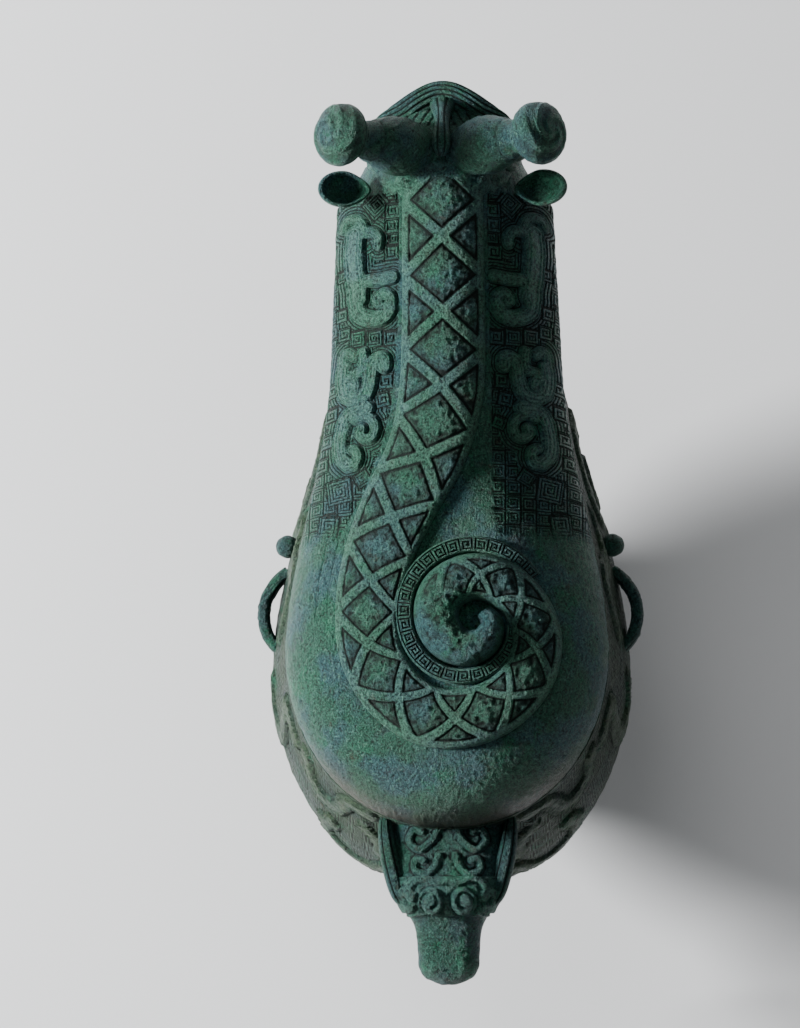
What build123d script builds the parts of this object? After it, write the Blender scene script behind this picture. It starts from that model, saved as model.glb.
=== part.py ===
from build123d import *
import os
from math import cos, pi, radians, sin

# Bronze guang: a covered wine pourer on an oval ring foot. The lid is a coiled dragon whose horned head
# covers the spout, and a beast's head tops the handle at the back.
# Millimetres. +X runs to the spout, +Y to the vessel's left, +Z up. The origin is on the ground, under the
# middle of the overall length.

# Driving dimensions
bellyX = -26.0            # where the belly, and the lid's dome, are widest
dragonHeadTipX = 105.0    # front of the curled snout
handleTipX = -105.0       # back of the handle's muzzle
wall = 2.6                # thickness of the vessel's wall
lidWall = 2.4             # thickness of the lid's wall
seamGap = 0.2             # play between the lid's edge and the vessel's rim
rearPower = 2.1           # squareness of every outline behind the belly's widest place

# Seam between vessel and lid, seen from the side: it dips over the belly and climbs to the spout.
seamLine = [(-115, 98), (-68, 96), (-22, 92.5), (20, 93.5), (50, 98), (80, 106), (110, 116)]

# The vessel's outlines at seven heights, then two above the seam that the lid is cut from.
# height, back end, front end, half width of the belly, half width of the neck, squareness of the nose
levels = [
    (18, -55, 14, 27, 22, 2.0),
    (27, -68, 31, 36, 28, 2.0),
    (40, -77.5, 45, 41.8, 33, 2.4),
    (56, -80.5, 55, 43.8, 34, 2.8),
    (70, -78.5, 61.5, 42.8, 32, 3.4),
    (82, -73.5, 70, 40.2, 29.5, 4.2),
    (92, -69.4, 81, 38.4, 28.2, 5.0),
    (102, -68.6, 91, 38.2, 28, 6.0),
    (112, -68.6, 96, 38.2, 28, 6.0),
    (121, -68.6, 98, 38.2, 28, 6.0),
]
cavityLift = [3.0, 2.4, 1.6, 0.6, 0, 0, 0, 0, 0, 0]    # the cavity's outlines sit this much higher

# Lid: the crest's height along its length, and how square the roof's cross-section is.
crestLine = [(-26, 121.5), (0, 121.5), (25, 121), (50, 123.5), (70, 128), (90, 132)]
rimBand = 2.6             # upright edge below the roof
lidRearX = -68.6
lidFrontX = 86.0
neckPower, domePower = 1.75, 2.7

# The dragon's body on the lid: x, y, half width and rise above the roof, from neck to tail tip.
dragonRoute = [
    (84, 0, 9.4, 2.4), (64, 0, 9.6, 2.6), (46, 0, 9.8, 2.8), (30, 0.8, 9.9, 2.9), (17, 4.2, 9.4, 2.9),
    (6.5, 9.6, 8.9, 2.8), (-5.5, 14.8, 8.3, 2.6), (-18, 17.6, 7.7, 2.4), (-30, 16.8, 7.4, 2.4),
    (-39, 11.6, 7.2, 2.6), (-44.4, 3.6, 7.0, 2.8), (-44.6, -6.5, 6.7, 3.0), (-40, -15.2, 6.4, 3.2),
    (-33.2, -20.2, 6.1, 3.6), (-25.6, -21.4, 5.8, 4.0), (-18.6, -18.6, 5.6, 4.4), (-13.8, -13.2, 5.5, 4.9),
    (-12.4, -6.0, 5.4, 5.4), (-16.2, 0.4, 5.4, 5.9), (-22.6, 1.6, 5.2, 6.3), (-27.4, -1.4, 4.8, 6.6),
    (-28.8, -6.2, 4.2, 6.7), (-26.8, -9.9, 3.5, 6.5), (-23.2, -11.0, 2.8, 6.0), (-20.4, -9.2, 2.0, 5.2),
]
coilStart = 12            # the dragon's tail begins at this place on the route

# Ribbon of meander between the dragon's turns: angle round the coil, distance out, half width
ribbonCentre = (-23.0, -6.0)
ribbonRule = [(216, 18.6, 1.5), (242, 18.6, 1.9), (270, 18.2, 2.0), (300, 17.5, 2.1), (330, 16.4, 2.1),
              (360, 15.0, 2.1), (390, 14.1, 2.0), (420, 13.2, 1.9), (450, 12.3, 1.8), (480, 11.5, 1.7),
              (510, 10.6, 1.5), (538, 9.7, 1.2)]
ribbonRise = 1.5

# Raised figures on the lid's flanks, left side in plan: half width, then the places along the middle
flankFigures = [
    (1.8, [(70.4, 20.0), (65.5, 21.0), (60.0, 20.8), (54.6, 20.4), (50.6, 19.0), (49.0, 15.8), (50.6, 12.8)]),
    (1.1, [(58.2, 18.6), (58.0, 15.2), (58.3, 11.6)]),
    (1.6, [(39.8, 14.8), (38.4, 16.8), (34.6, 17.5), (31.6, 19.4), (32.2, 22.8), (36.8, 23.7), (41.2, 22.6)]),
    (1.5, [(28.4, 17.6), (27.8, 21.4), (24.4, 23.9), (19.6, 24.6), (15.6, 23.2), (15.6, 20.6)]),
    (1.1, [(25.6, 16.8), (22.6, 16.6), (21.4, 18.8)]),
]
flankRise = 0.8

# Ring foot
footHeight = 22.0
footCentreX = -20.5
footLong, footWide = 38.5, 30.0          # half length and half width where it stands
footWaistLong, footWaistWide = 34.6, 26.6
footWall = 2.8
footBand = 3.0                           # upright band at the ground

# Dragon's head: x, half width, underside, top
headSections = [(77, 16, 103, 130), (83, 19.4, 104, 136), (89, 19.0, 106, 136), (94, 16.8, 109, 131),
                (98.5, 12.4, 113, 126), (101.5, 7.0, 117, 123.5)]
headWall = 3.0
hornRoot = (86.5, 5.2, 130.0)
hornLean = 45.0                          # degrees above level
hornProfile = [(5.4, 0), (6.7, 6), (6.3, 10.5), (4.2, 17), (3.9, 20), (5.6, 22), (6.9, 23.4), (6.6, 26), (4.4, 28.4)]
hornTip = 29.2
hornWall = 2.0
earCentre = (78.5, 21.6, 126.0)
earHalf = (4.4, 7.6, 3.4)
eyeCentre = (89.5, 17.6, 122.5)
eyeRadius = 3.8
snoutCorner = (92.5, 16.8)
snoutBottom, snoutTop = 117.5, 128.0
toothCount = 5

# Handle
handleTop, handleBottom = 80.0, 40.0
handleBackX = -97.5
handleInX = -66.0
handleBend = 13.0
handleHalf = (3.9, 5.2)                  # half thickness and half width of the grip
handleCoreRadius = 2.1
beastSections = [(-66, 12.5, 80, 94), (-73, 14.0, 80, 95.5), (-80, 13.2, 81, 97), (-86, 11.0, 81.5, 96.5),
                 (-91, 8.0, 81, 93), (-98, 7.2, 79.5, 90.5), (-102.6, 6.2, 80, 89), (handleTipX, 3.4, 82, 87)]
beastHornRoute = [(-85.5, 11.0, 92.5, 2.9), (-80, 13.6, 94, 2.6), (-75, 15.0, 95, 2.0), (-70.5, 15.4, 96, 1.0)]
spurLength = 11.0

# Side lugs: a low strap on each flank
lugHeight = 68.0
lugArc = [(-6.0, 41.2), (-14.0, 45.2), (-23.0, 42.0)]
lugHalf = (1.2, 3.4)                     # half thickness and half height

# Raised scrolls round the belly, left side: half width, then places as the distance round from the back
# end, measured at height 70, and the height
bellyFigures = [
    (2.1, [(18.6, 91.0), (23.4, 90.2), (26.8, 86.2), (29.6, 81.8), (34.6, 79.8), (39.6, 82.2), (40.8, 87.0)]),
    (2.1, [(16.4, 74.4), (17.6, 80.0), (20.6, 83.0)]),
    (2.3, [(16.4, 67.0), (20.0, 62.0), (26.4, 59.8), (32.6, 62.2), (35.0, 68.0), (31.6, 72.6)]),
    (2.5, [(48.0, 84.0), (53.6, 85.0), (56.6, 79.6), (56.6, 72.4), (60.0, 65.8), (66.4, 63.6), (71.2, 67.6)]),
    (2.1, [(76.4, 79.0), (79.8, 84.2), (85.6, 85.0), (90.4, 81.2), (96.2, 79.0), (101.2, 82.2)]),
    (2.4, [(109.6, 65.0), (110.2, 73.4), (115.4, 79.6), (123.0, 80.6), (129.4, 76.4), (134.6, 71.6)]),
    (2.0, [(118.6, 71.0), (117.6, 65.4), (122.4, 61.4), (128.0, 64.2)]),
]
bellyRise = 0.8

# Bronze spacers that held the casting core off the mould: x, y, z at the belly's wall
spacerSpots = [(12, 36, 50), (12, -36, 50), (-52, 36, 50), (-52, -36, 50), (-38, 0, 19.5), (-4, 0, 19.5)]
spacerSide = 5.0

os.makedirs("parts", exist_ok=True)


def largest(shape):
    return max(shape.solids(), key=lambda solid: solid.volume)


def along(line, x):
    """Height of a line of (x, z) points at x, by straight runs eased at the points."""
    for (x0, z0), (x1, z1) in zip(line, line[1:]):
        if x <= x1:
            share = max(0.0, (x - x0) / (x1 - x0))
            return z0 + (z1 - z0) * share
    return line[-1][1]


def ease(u):
    """Smooth step from 0 to 1."""
    u = min(1.0, max(0.0, u))
    return u * u * (3 - 2 * u)


def sideWidth(x, half, neck):
    """Half width of a pear-shaped outline at x, before its nose is rounded."""
    width = half - (half - neck) * ease((x - bellyX + 3) / 70)
    width -= 0.05 * max(0.0, x - 32)
    return width - 6.6 * ease((x - 76) / 12)


def outlinePoints(rear, front, half, neck, power, inset=0.0, count=15):
    """Points from the nose, round the left side, to the back end."""
    points = []
    for i in range(count):
        turn = pi * i / (count - 1)
        c = cos(turn)
        p = power if c > 0 else rearPower
        x = bellyX + (front - inset - bellyX if c > 0 else bellyX - rear - inset) * c
        shrink = max(0.0, 1 - abs(c) ** p) ** (1 / p)
        points.append((x, max(0.0, sideWidth(x, half, neck) - inset) * shrink))
    points[0] = (front - inset, 0)
    points[-1] = (rear + inset, 0)
    return points


def outlineFace(z, points):
    right = [(x, -y) for x, y in points[-2:0:-1]]
    return Pos(0, 0, z) * make_face(Spline(*points, *right, periodic=True))


def belowSeam(shift, low=-20.0, reach=120.0):
    """Block of everything under the seam, moved up by shift."""
    curve = Spline(*[(x, z + shift) for x, z in seamLine])
    first, last = seamLine[0], seamLine[-1]
    ends = Polyline((last[0], last[1] + shift), (last[0], low), (first[0], low), (first[0], first[1] + shift))
    return extrude(Plane.XZ * make_face(Wire([curve, *ends.edges()])), reach / 2, both=True)


def seamAt(x):
    return along(seamLine, x)


def roofHeight(x, y, inset=0.0):
    """Height of the lid's roof over a place in plan."""
    half = sideWidth(x, 38.2, 28) - inset
    if x < bellyX:
        deep = (bellyX - x) / (bellyX - lidRearX - inset)
        v = (deep ** rearPower + (abs(y) / half) ** rearPower) ** (1 / rearPower)
    else:
        v = abs(y) / half
    v = min(1.0, v)
    power = domePower + (neckPower - domePower) * ease((x - bellyX) / 60)
    rim = seamAt(x) + rimBand
    crest = along(crestLine, max(x, bellyX)) - inset
    return rim + (crest - rim) * (1 - v ** power) ** (1 / power)


def roofSection(x, inset=0.0, below=6.0, count=17):
    """Closed upright section of the lid at x, from below the seam to the roof."""
    if x < bellyX:
        deep = (bellyX - x) / (bellyX - lidRearX - inset)
        half = (38.2 - inset) * (1 - deep ** rearPower) ** (1 / rearPower)
    else:
        half = sideWidth(x, 38.2, 28) - inset
    low = seamAt(x) - below
    top = []
    for i in range(count):
        y = half * cos(pi * i / (count - 1))
        top.append((x, y, roofHeight(x, y * 0.9999, inset)))
    arch = Spline(*top)
    sides = Polyline(top[-1], (x, -half, low), (x, half, low), top[0])
    return make_face(Wire([arch, *sides.edges()]))


def roofBlock(inset, rear, front):
    stations = [rear, -65.5, -61, -54, -44, -34, -26, -14, 0, 14, 28, 42, 56, 70, 76, 80, 84, front]
    return loft([roofSection(x, inset) for x in stations if rear <= x <= front])


def roofTube(route, first=0, last=None):
    """Ridge with oval sections that lie on the roof, through the route's (x, y, half width, rise)."""
    sections = []
    last = len(route) - 1 if last is None else last
    for i in range(first, last + 1):
        x, y, half, rise = route[i]
        before, after = route[max(0, i - 1)], route[min(len(route) - 1, i + 1)]
        way = Vector(after[0] - before[0], after[1] - before[1], 0).normalized()
        side = Vector(-way.Y, way.X, 0)
        ends = []
        for sign in (1, -1):
            px, py = x + sign * half * side.X, y + sign * half * side.Y
            ends.append(Vector(px, py, roofHeight(px, py)))
        middle = (ends[0] + ends[1]) * 0.5
        lift = roofHeight(x, y) - middle.Z + rise
        down = (ends[0] - ends[1]).cross(way)
        down = down if down.Z < 0 else down * -1
        plane = Plane(origin=middle, x_dir=down, z_dir=way)
        sections.append(plane * Ellipse(lift, (ends[0] - ends[1]).length / 2))
    return loft(sections)


def ribbonRoute():
    cx, cy = ribbonCentre
    return [(cx - r * sin(radians(turn)), cy + r * cos(radians(turn)), half, ribbonRise)
            for turn, r, half in ribbonRule]


def strokeFace(places, half):
    """Flat face round a smooth line through the places, half wide to each side, with round ends."""
    curve = Spline(*places)
    count = max(4, round(curve.length / 3))
    left, right = [], []
    for i in range(count + 1):
        spot, way = curve @ (i / count), curve % (i / count)
        left.append((spot.X - way.Y * half, spot.Y + way.X * half))
        right.append((spot.X + way.Y * half, spot.Y - way.X * half))
    ends = [(spot.X + way.X * half * sign, spot.Y + way.Y * half * sign)
            for spot, way, sign in ((curve @ 1, curve % 1, 1), (curve @ 0, curve % 0, -1))]
    return make_face(Spline(*left, ends[0], *right[::-1], ends[1], periodic=True))


def raisedOn(base, prisms, upper, middle):
    """The base with raised figures on both sides, each from the middle of its wall up to the upper surface."""
    figures = [largest((prism & upper) - middle) for prism in prisms]
    return largest(base.fuse(*figures, *[figure.mirror(Plane.XZ) for figure in figures]))


def between(column, z):
    """One of the levels' numbers at height z, smooth through the levels."""
    def slope(i):
        a, b, c = levels[max(0, i - 1)], levels[i], levels[min(len(levels) - 1, i + 1)]
        if a is b or b is c:
            return (c[column] - a[column]) / (c[0] - a[0])
        before, after = b[0] - a[0], c[0] - b[0]
        return ((c[column] - b[column]) / after * before + (b[column] - a[column]) / before * after) / (before + after)

    i = max(k for k in range(len(levels) - 1) if levels[k][0] <= z)
    gap = levels[i + 1][0] - levels[i][0]
    u = (z - levels[i][0]) / gap
    return ((2 * u**3 - 3 * u**2 + 1) * levels[i][column] + (u**3 - 2 * u**2 + u) * gap * slope(i)
            + (3 * u**2 - 2 * u**3) * levels[i + 1][column] + (u**3 - u**2) * gap * slope(i + 1))


def halfRing(z):
    """Places round the belly's left side at height z, from the back end, with the distance to each."""
    line = outlinePoints(*[between(k, z) for k in range(1, 6)], count=161)[::-1]
    runs = [0.0]
    for (ax, ay), (bx, by) in zip(line, line[1:]):
        runs.append(runs[-1] + ((bx - ax) ** 2 + (by - ay) ** 2) ** 0.5)
    return line, runs


def bellyPlace(run, z):
    line, runs = halfRing(z)
    at = run / halfRing(70)[1][-1] * runs[-1]
    i = max(k for k in range(len(runs) - 1) if runs[k] <= at)
    share = (at - runs[i]) / (runs[i + 1] - runs[i])
    (ax, ay), (bx, by) = line[i], line[i + 1]
    return Vector(ax + (bx - ax) * share, ay + (by - ay) * share, z)


def bellyPrism(half, places):
    """Short block through the near wall in the outline of a scroll, square to the belly at its middle."""
    spots = [bellyPlace(run, z) for run, z in places]
    run = sum(place[0] for place in places) / len(places)
    z = sum(place[1] for place in places) / len(places)
    origin = bellyPlace(run, z)
    round1 = (bellyPlace(run + 1, z) - origin).normalized()
    out = round1.cross(Vector(0, 0, 1))
    plane = Plane(origin=origin, x_dir=round1, z_dir=out if out.Y > 0 else out * -1)
    flat = [((spot - origin).dot(plane.x_dir), (spot - origin).dot(plane.y_dir)) for spot in spots]
    return extrude(plane * strokeFace(flat, half), 9, both=True)


def arch(x, half, low, top, power=2.4, count=13):
    """Upright closed section, flat below and rounded above."""
    points = []
    for i in range(count):
        turn = pi * i / (count - 1)
        c, s = cos(turn), sin(turn)
        y = half * (1 if c > 0 else -1) * abs(c) ** (2 / power)
        points.append((x, y, low + (top - low) * abs(s) ** (2 / power)))
    return make_face(Wire([Spline(*points), Line(points[-1], points[0])]))


def oval(x, half, low, top):
    return Plane(origin=(x, 0, (low + top) / 2), x_dir=(0, 1, 0), z_dir=(1, 0, 0)) * Ellipse(half, (top - low) / 2)


def snoutPlate(z, back):
    """Pointed arch of the curled lip in plan, its point and corners set back from the outermost ones."""
    cx, cy = snoutCorner[0] - back, snoutCorner[1] - back * 0.35
    tip = dragonHeadTipX - back * 1.4
    mid = ((cx + tip) / 2 + 1.5, cy * 0.58)
    left = ThreePointArc((cx, cy), mid, (tip, 0))
    back = ThreePointArc((tip - 5.5, 0), (mid[0] - 4.6, mid[1] - 1.4), (cx, cy))
    return Pos(0, 0, z) * make_face(Wire([left, back, left.mirror(Plane.XZ), back.mirror(Plane.XZ)]))


def hornPlace(sign):
    up = Vector(0, sign * cos(radians(hornLean)), sin(radians(hornLean)))
    return Plane(origin=(hornRoot[0], sign * hornRoot[1], hornRoot[2]), x_dir=(1, 0, 0), z_dir=up)


def hornTurned(inset):
    """Bottle-shaped horn turned about its own axis, standing on the origin."""
    start = inset
    outer = [(max(0.4, r - inset), z) for r, z in hornProfile if start <= z <= hornTip - 2 * inset]
    first, last = outer[0], outer[-1]
    tip = hornTip - inset
    curve = Spline(*outer, (0, tip), tangents=[(0.2, 1), (-1, 0)])
    rest = Polyline((0, tip), (0, first[1]), first)
    return revolve(Plane.XZ * make_face(Wire([curve, *rest.edges()])), Axis.Z)


def makeVessel():
    outside = loft([outlineFace(z, outlinePoints(r, f, h, n, p)) for z, r, f, h, n, p in levels])
    hollow = loft([
        outlineFace(z + lift, outlinePoints(r, f, h, n, p, inset=wall))
        for (z, r, f, h, n, p), lift in zip(levels, cavityLift)
    ])
    body = (outside - hollow) & belowSeam(0)
    spacerBlocks = [
        Pos(x, y, z) * Box(spacerSide, spacerSide if y == 0 else 30, spacerSide if y else 12)
        for x, y, z in spacerSpots
    ]
    spacers = [body & block for block in spacerBlocks]
    for block in spacerBlocks:
        body -= block
    upper = loft([outlineFace(z, outlinePoints(r, f, h, n, p, inset=-bellyRise)) for z, r, f, h, n, p in levels])
    middle = loft([outlineFace(z, outlinePoints(r, f, h, n, p, inset=wall / 2)) for z, r, f, h, n, p in levels])
    body = raisedOn(largest(body), [bellyPrism(*figure) for figure in bellyFigures], upper, middle)
    return outside, hollow, body, Compound(children=[s for part in spacers for s in part.solids()])


def makeFoot(outside):
    def ring(z, long, wide):
        return Pos(footCentreX, 0, z) * Ellipse(long, wide)

    skin = loft([ring(footBand, footLong, footWide), ring(12, footWaistLong, footWaistWide),
                 ring(footHeight, footWaistLong + 1.6, footWaistWide + 1.4)])
    core = loft([ring(footBand, footLong - footWall, footWide - footWall),
                 ring(12, footWaistLong - footWall, footWaistWide - footWall),
                 ring(footHeight, footWaistLong + 1.6 - footWall, footWaistWide + 1.4 - footWall)])
    band = extrude(ring(0, footLong, footWide) - ring(0, footLong - footWall, footWide - footWall), footBand)
    return (skin - core) + band - outside


def makeHandle(outside):
    path = FilletPolyline((handleInX, 0, handleTop), (handleBackX, 0, handleTop),
                          (handleBackX, 0, handleBottom), (handleInX, 0, handleBottom), radius=handleBend)
    start = Plane(origin=(handleInX, 0, handleTop), x_dir=(0, 0, 1), z_dir=(-1, 0, 0))
    grip = sweep(start * Ellipse(handleHalf[0], handleHalf[1]), path=path)
    core = sweep(start * Circle(handleCoreRadius), path=path)
    beast = largest(loft([oval(*section) for section in beastSections]) - outside)
    grip = grip - outside - beast
    core = core - outside - beast - (Pos(handleInX, 0, handleBottom) * Box(40, 40, 20))
    spur = Plane(origin=(handleBackX, 0, handleBottom + 4), x_dir=(0, 1, 0), z_dir=(-0.35, 0, -1))
    tail = loft([spur * Ellipse(4.2, 2.6), spur.offset(spurLength * 0.6) * Ellipse(4.8, 2.2),
                 spur.offset(spurLength) * Ellipse(2.4, 1.2)])
    horns = []
    for sign in (1, -1):
        rings = []
        for i, (x, y, z, r) in enumerate(beastHornRoute):
            a, b = beastHornRoute[max(0, i - 1)], beastHornRoute[min(len(beastHornRoute) - 1, i + 1)]
            way = Vector(b[0] - a[0], sign * (b[1] - a[1]), b[2] - a[2])
            rings.append(Plane(origin=(x, sign * y, z), z_dir=way) * Circle(r))
        horns.append(loft(rings, ruled=True) - beast - outside)
    eyes = [Pos(-87.5, sign * 4.9, 93.6) * Sphere(3.2) - beast for sign in (1, -1)]
    return grip - core, core, beast, tail - grip, horns, eyes


def makeLug(outside, sign):
    arc = ThreePointArc(*[(x, sign * y, lugHeight) for x, y in lugArc])
    start = Plane(origin=arc @ 0, x_dir=(0, 0, 1), z_dir=arc % 0)
    strap = sweep(start * RectangleRounded(lugHalf[1] * 2, lugHalf[0] * 2, lugHalf[0] * 0.8), path=arc)
    strap = largest(strap - outside)
    knob = Pos(1.5, sign * 40.4, lugHeight + 4) * Sphere(2.6) - outside
    return strap, knob


def makeLid():
    roof = roofBlock(0, lidRearX + 0.5, lidFrontX)
    under = roofBlock(lidWall, lidRearX + lidWall + 0.5, lidFrontX - 3)
    above = roof - belowSeam(seamGap)
    shell = above - under
    outer = outlineFace(84, outlinePoints(*levels[6][1:], inset=wall + 0.8))
    inner = outlineFace(84, outlinePoints(*levels[6][1:], inset=wall + 2.4))
    band = extrude(outer - inner, 40) & belowSeam(4.5) - belowSeam(-4.5)
    tongue = band & (Pos(5, 0, 100) * Box(136, 90, 60)) - shell
    tongue = Compound(children=[s for s in tongue.solids() if s.volume > 50])
    crown = roof & (Pos(0, 0, 125) * Box(300, 200, 32))
    spineTube, coilTube = roofTube(dragonRoute, 0, coilStart), roofTube(dragonRoute, coilStart)
    spine = spineTube - crown
    coil = coilTube - crown - spine
    upper, middle = (roofBlock(inset, lidRearX + 4, 80) for inset in (-flankRise, lidWall / 2))
    prisms = [extrude(Pos(0, 0, 95) * strokeFace(places, half), 40) for half, places in flankFigures]
    ribbon = largest(roofTube(ribbonRoute()) - spineTube - coilTube)
    shell = largest(raisedOn(largest(shell), prisms, upper, middle).fuse(ribbon))
    return roof, shell, tongue, spine, coil


def makeHead(roof, spine, outside):
    block = loft([arch(*section) for section in headSections]) - belowSeam(seamGap)
    room = loft([arch(x - 2.5, half - headWall, low - 6, top - headWall - 1.5)
                 for x, half, low, top in headSections[:5]])
    skull = block - room - roof - spine
    lower, upper = snoutPlate(snoutBottom, 4.0), snoutPlate(snoutTop, 0)
    snout = loft([lower, upper]) - block
    snout -= Pos(dragonHeadTipX + 8, 0, snoutTop + 1.5) * Rot(0, 20, 0) * Box(30, 60, 6)
    ridge = Pos(91.5, 0, 131) * Box(15, 3.4, 10) & (Pos(91.5, 0, 118) * Rot(0, 24, 0) * Box(40, 10, 34))
    ridge = ridge - block - snout - spine - roof
    eyes = [Pos(eyeCentre[0], s * eyeCentre[1], eyeCentre[2]) * Sphere(eyeRadius) - block - snout for s in (1, -1)]
    horns, cores = [], []
    for sign in (1, -1):
        place = hornPlace(sign).location
        solid = place * hornTurned(0)
        core = place * hornTurned(hornWall) - block
        horns.append(solid - block - roof - spine - ridge - core)
        cores.append(core)
    horns[1] = horns[1] - horns[0]
    ears = []
    for sign in (1, -1):
        lean = Pos(earCentre[0], sign * earCentre[1], earCentre[2]) * Rot(sign * 14, 0, 0)
        leaf = lean * scale(Sphere(1), by=earHalf)
        cup = lean * Pos(0, 0, 1.9) * scale(Sphere(1), by=tuple(h - 1.1 for h in earHalf))
        ears.append(largest(leaf - cup - roof - block - horns[0] - horns[1]))
    teeth = []
    for i in range(toothCount):
        x = 84 + 3.1 * i
        y = (18.2, 17.9, 17.0, 15.6, 13.4)[i]
        for sign in (1, -1):
            spot = Plane(origin=(x, sign * y, seamAt(x) + 1.6), z_dir=(0, 0, -1))
            tooth = loft([spot * Ellipse(1.5, 0.9), spot.offset(5.2) * Ellipse(0.4, 0.3)])
            teeth += (tooth - block - outside).solids()
    return skull, snout, ridge, eyes, horns, cores, ears, teeth


def save(shape, name):
    export_step(shape, os.path.join("parts", name + ".step"))


def group(shapes):
    return Compound(children=[s for shape in shapes for s in shape.solids()])


outside, hollow, body, spacers = makeVessel()
foot = makeFoot(outside)
grip, core, beast, tail, beastHorns, beastEyes = makeHandle(outside)
lugs = [makeLug(outside, sign) for sign in (1, -1)]
roof, shell, tongue, spine, coil = makeLid()
skull, snout, ridge, eyes, horns, hornCores, ears, teeth = makeHead(roof, spine, outside)

save(body, "vessel_body")
save(spacers, "casting_spacers")
save(foot, "ring_foot")
save(grip, "handle_grip")
save(core, "handle_clay_core")
save(beast, "handle_beast_head")
save(tail, "handle_spur")
save(beastHorns[0], "beast_horn_left")
save(beastHorns[1], "beast_horn_right")
save(group(beastEyes), "beast_eyes")
save(lugs[0][0], "side_lug_left")
save(lugs[1][0], "side_lug_right")
save(group([lugs[0][1], lugs[1][1]]), "side_bosses")
save(shell, "lid_shell")
save(tongue, "lid_tongue")
save(spine, "dragon_back")
save(coil, "dragon_coil")
save(skull, "dragon_head")
save(snout, "dragon_snout")
save(ridge, "dragon_nose_ridge")
save(horns[0], "horn_left")
save(horns[1], "horn_right")
save(group(hornCores), "horn_clay_cores")
save(ears[0], "ear_left")
save(ears[1], "ear_right")
save(eyes[0], "eye_left")
save(eyes[1], "eye_right")
save(group(teeth), "upper_teeth")
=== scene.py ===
import bpy
import bmesh
import math
import numpy as np
from functools import partial
from mathutils import Matrix, Vector


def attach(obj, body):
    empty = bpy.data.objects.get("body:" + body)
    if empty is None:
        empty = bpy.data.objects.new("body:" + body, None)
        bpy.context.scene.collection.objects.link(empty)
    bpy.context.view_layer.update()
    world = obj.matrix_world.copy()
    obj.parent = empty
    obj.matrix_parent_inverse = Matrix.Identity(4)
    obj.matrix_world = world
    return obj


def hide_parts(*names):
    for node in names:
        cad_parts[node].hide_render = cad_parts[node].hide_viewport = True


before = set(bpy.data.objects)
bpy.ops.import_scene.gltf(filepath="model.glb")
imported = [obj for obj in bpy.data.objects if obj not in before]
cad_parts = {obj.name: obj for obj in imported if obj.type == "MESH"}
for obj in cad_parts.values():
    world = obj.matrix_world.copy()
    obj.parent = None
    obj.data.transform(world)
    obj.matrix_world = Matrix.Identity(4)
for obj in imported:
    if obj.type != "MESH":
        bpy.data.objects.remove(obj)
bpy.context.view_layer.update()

mm = 0.001
pi = math.pi

# All shapes below are worked out in millimetres and written to the mesh in metres.
vesselShape = {
    "bellyX": -26.0, "rearPower": 2.1, "lidRearX": -68.6, "lidFrontX": 86.0,
    "seam": [(-115, 98), (-68, 96), (-22, 92.5), (20, 93.5), (50, 98), (80, 106), (110, 116)],
    "crest": [(-26, 121.5), (0, 121.5), (25, 121), (50, 123.5), (70, 128), (90, 132)],
    "rimBand": 2.6, "seamGap": 0.2, "neckPower": 1.75, "domePower": 2.7, "shoulderRun": 60,
    "wall": 2.6, "lidWall": 2.4, "lidHalf": 38.2, "neckHalf": 28.0, "neckRun": 70,
    # the neck's taper: from x, share; the spout's pinch: from x, over, by
    "taper": (32, 0.05), "spout": (76, 12, 6.6),
    "bottom": 18.0, "floor": 21.2, "middleX": -20.5, "topRing": 122, "rings": 90,
    "cols": 457, "rows": 172, "innerRows": 22,
    # height, back end, front end, belly half width, neck half width, squareness of the nose
    "levels": [
        (18, -55, 14, 27, 22, 2.0), (27, -68, 31, 36, 28, 2.0), (40, -77.5, 45, 41.8, 33, 2.4),
        (56, -80.5, 55, 43.8, 34, 2.8), (70, -78.5, 61.5, 42.8, 32, 3.4), (82, -73.5, 70, 40.2, 29.5, 4.2),
        (92, -69.4, 81, 38.4, 28.2, 5.0), (102, -68.6, 91, 38.2, 28, 6.0), (112, -68.6, 96, 38.2, 28, 6.0),
        (121, -68.6, 98, 38.2, 28, 6.0),
    ],
}

dragonBody = {
    # x, y, half width, rise above the roof
    "route": [
        (84, 0, 9.4, 2.4), (64, 0, 9.6, 2.6), (46, 0, 9.8, 2.8), (30, 0.8, 9.9, 2.9), (17, 4.2, 9.4, 2.9),
        (6.5, 9.6, 8.9, 2.8), (-5.5, 14.8, 8.3, 2.6), (-18, 17.6, 7.7, 2.4), (-30, 16.8, 7.4, 2.4),
        (-39, 11.6, 7.2, 2.6), (-44.4, 3.6, 7.0, 2.8), (-44.6, -6.5, 6.7, 3.0), (-40, -15.2, 6.4, 3.2),
        (-33.2, -20.2, 6.1, 3.6), (-25.6, -21.4, 5.8, 4.0), (-18.6, -18.6, 5.6, 4.4), (-13.8, -13.2, 5.5, 4.9),
        (-12.4, -6.0, 5.4, 5.4), (-16.2, 0.4, 5.4, 5.9), (-22.6, 1.6, 5.2, 6.3), (-27.4, -1.4, 4.8, 6.6),
        (-28.8, -6.2, 4.2, 6.7), (-26.8, -9.9, 3.5, 6.5), (-23.2, -11.0, 2.8, 6.0), (-20.4, -9.2, 2.0, 5.2),
    ],
    "coilStart": 12,
    "step": 0.3,
    "pitchAlong": [(0, 17.2), (60, 17.0), (95, 15.2), (150, 14.0), (190, 11.0), (230, 8.0), (300, 6.0)],
    "barHalf": 1.2, "grooveHalf": 0.24, "grooveDepth": 0.5, "border": 1.7,
}

print("stage: shape rules")


def along(line, x):
    return np.interp(x, *zip(*line))


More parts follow.
